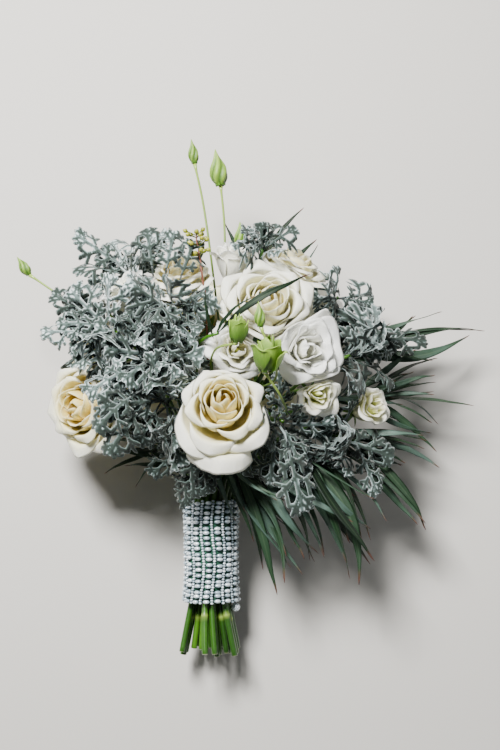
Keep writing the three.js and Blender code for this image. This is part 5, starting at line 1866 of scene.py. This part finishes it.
# %% Pin
PIN_BALL = 4.2
PIN_RADIUS = 23
PIN_ANGLE = math.radians(15)
PIN_LENGTH = 18
PIN_CENTRE = -BINDING_LENGTH - SEAT_GAP - PIN_BALL
SHANK_RADIUS = 0.45
SEED_PEARLS = 46
SEED_PEARL = 0.62
BALL_GRAIN = (24, 16)

steel = Finish("pin steel", Metallic=1.0, Roughness=0.25, Base_Color=colour_of("#c9ccd0"))
pin_at = np.array([PIN_RADIUS * math.cos(PIN_ANGLE), PIN_CENTRE, PIN_RADIUS * math.sin(PIN_ANGLE)])
core = PIN_BALL - SEED_PEARL
parts = [ball_part(pin_at, np.eye(3), core, *BALL_GRAIN, 0.4)]
for k in range(SEED_PEARLS):
    rise = 1 - 2 * (k + 0.5) / SEED_PEARLS
    flat = math.sqrt(1 - rise * rise)
    out = np.array([flat * math.cos(k * GOLDEN_ANGLE), rise, flat * math.sin(k * GOLDEN_ANGLE)])
    parts.append(ball_part(pin_at + out * core, np.eye(3), SEED_PEARL, *ROUND_GRAIN, 0.9))
parts.append(tube([pin_at, pin_at + [0, PIN_LENGTH, 0]], [SHANK_RADIUS] * 2, 10, material=1))
make_piece("pin_head", parts, [PEARL_SKIN, steel.material], ["ball_headed_pin"])
print("pin:", made[-1])
largest = max(made, key=lambda piece: piece[1])
print("triangles in all:", sum(count for _, count in made), "largest:", largest)

# %% [markdown]
# ## Surface, light and camera
# The bouquet lies on a pale, plain surface, under one large soft light from above on the left, as
# from a window, with a weak one opposite. White flowers need the light kept low, or their petals
# lose all drawing. The camera looks down on the bouquet from far off with a long lens, tilted as
# the bouquet is, so that it shows the bouquet from its front.

# %% Surface
REACH = 12.0
surface = bpy.data.meshes.new("pale_surface")
corners = [(x * REACH, y * REACH, 0) for x, y in ((-1, -1), (1, -1), (1, 1), (-1, 1))]
surface.from_pydata(corners, [], [(0, 1, 2, 3)])
floor = bpy.data.objects.new("pale_surface", surface)
bpy.context.scene.collection.objects.link(floor)
pale = colour_of("#bcb9b4")
matte = Finish("matte pale surface", Roughness=0.9, Base_Color=pale, Specular_IOR_Level=0.2)
surface.materials.append(matte.material)
floor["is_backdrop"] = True
print("surface:", REACH * 2, "m wide")

# %% [markdown]
# ### Light
# A round area light 0.45 m wide, a metre and a half away, throws shadows with soft edges. A wider,
# very weak one stands opposite, and a dim grey world fills the shadows between the leaves.

# %% Light
def area_light(name, place, size, watts, colour):
    lamp = bpy.data.lights.new(name, "AREA")
    lamp.shape, lamp.size, lamp.energy, lamp.color = "DISK", size, watts, colour
    thing = bpy.data.objects.new(name, lamp)
    bpy.context.scene.collection.objects.link(thing)
    thing.location = place
    thing.rotation_euler = (-Vector(place)).to_track_quat("-Z", "Y").to_euler()
    thing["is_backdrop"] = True


area_light("window_light", (-0.42, 0.62, 1.25), 0.45, 78.0, (1.0, 0.995, 0.975))
area_light("fill_light", (1.1, -0.5, 0.9), 0.9, 2.5, (0.94, 0.97, 1.0))
world = bpy.data.worlds.new("soft room")
world.use_nodes = True
background = world.node_tree.nodes["Background"].inputs
background["Color"].default_value = (0.65, 0.67, 0.67, 1)
background["Strength"].default_value = 0.2
bpy.context.scene.world = world

# %% [markdown]
# ### Camera
# The view is the one that shows the bouquet's front: the camera stands square to it at a metre and
# a half, and an upright frame holds the tallest bud at the top and the cut stems below.

# %% Camera
CAMERA_AT = [35.1, 112.5, 1500.0]
lens = bpy.data.cameras.new("camera")
lens.lens = 80
lens.sensor_width = 36
lens.clip_start = 0.05
eye = bpy.data.objects.new("camera", lens)
bpy.context.scene.collection.objects.link(eye)
eye.location = to_scene(CAMERA_AT)
eye.rotation_euler = (TILT, 0, 0)
eye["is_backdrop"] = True
bpy.context.scene.camera = eye
print("camera at", [round(v, 3) for v in eye.location])

# %% [markdown]
# ## Sizes
# The dressed bouquet may come out a little larger than its solids, so both sizes are kept.

# %% Sizes
low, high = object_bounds()
sizes = {
    "solids": [[float(v) for v in cad_low], [float(v) for v in cad_high]],
    "dressed": [[float(v) for v in low], [float(v) for v in high]],
}
wider = [round((v - w) / MM, 1) for v, w in zip(high - low, cad_high - cad_low)]
print("dressed by more than the solids, mm:", wider)
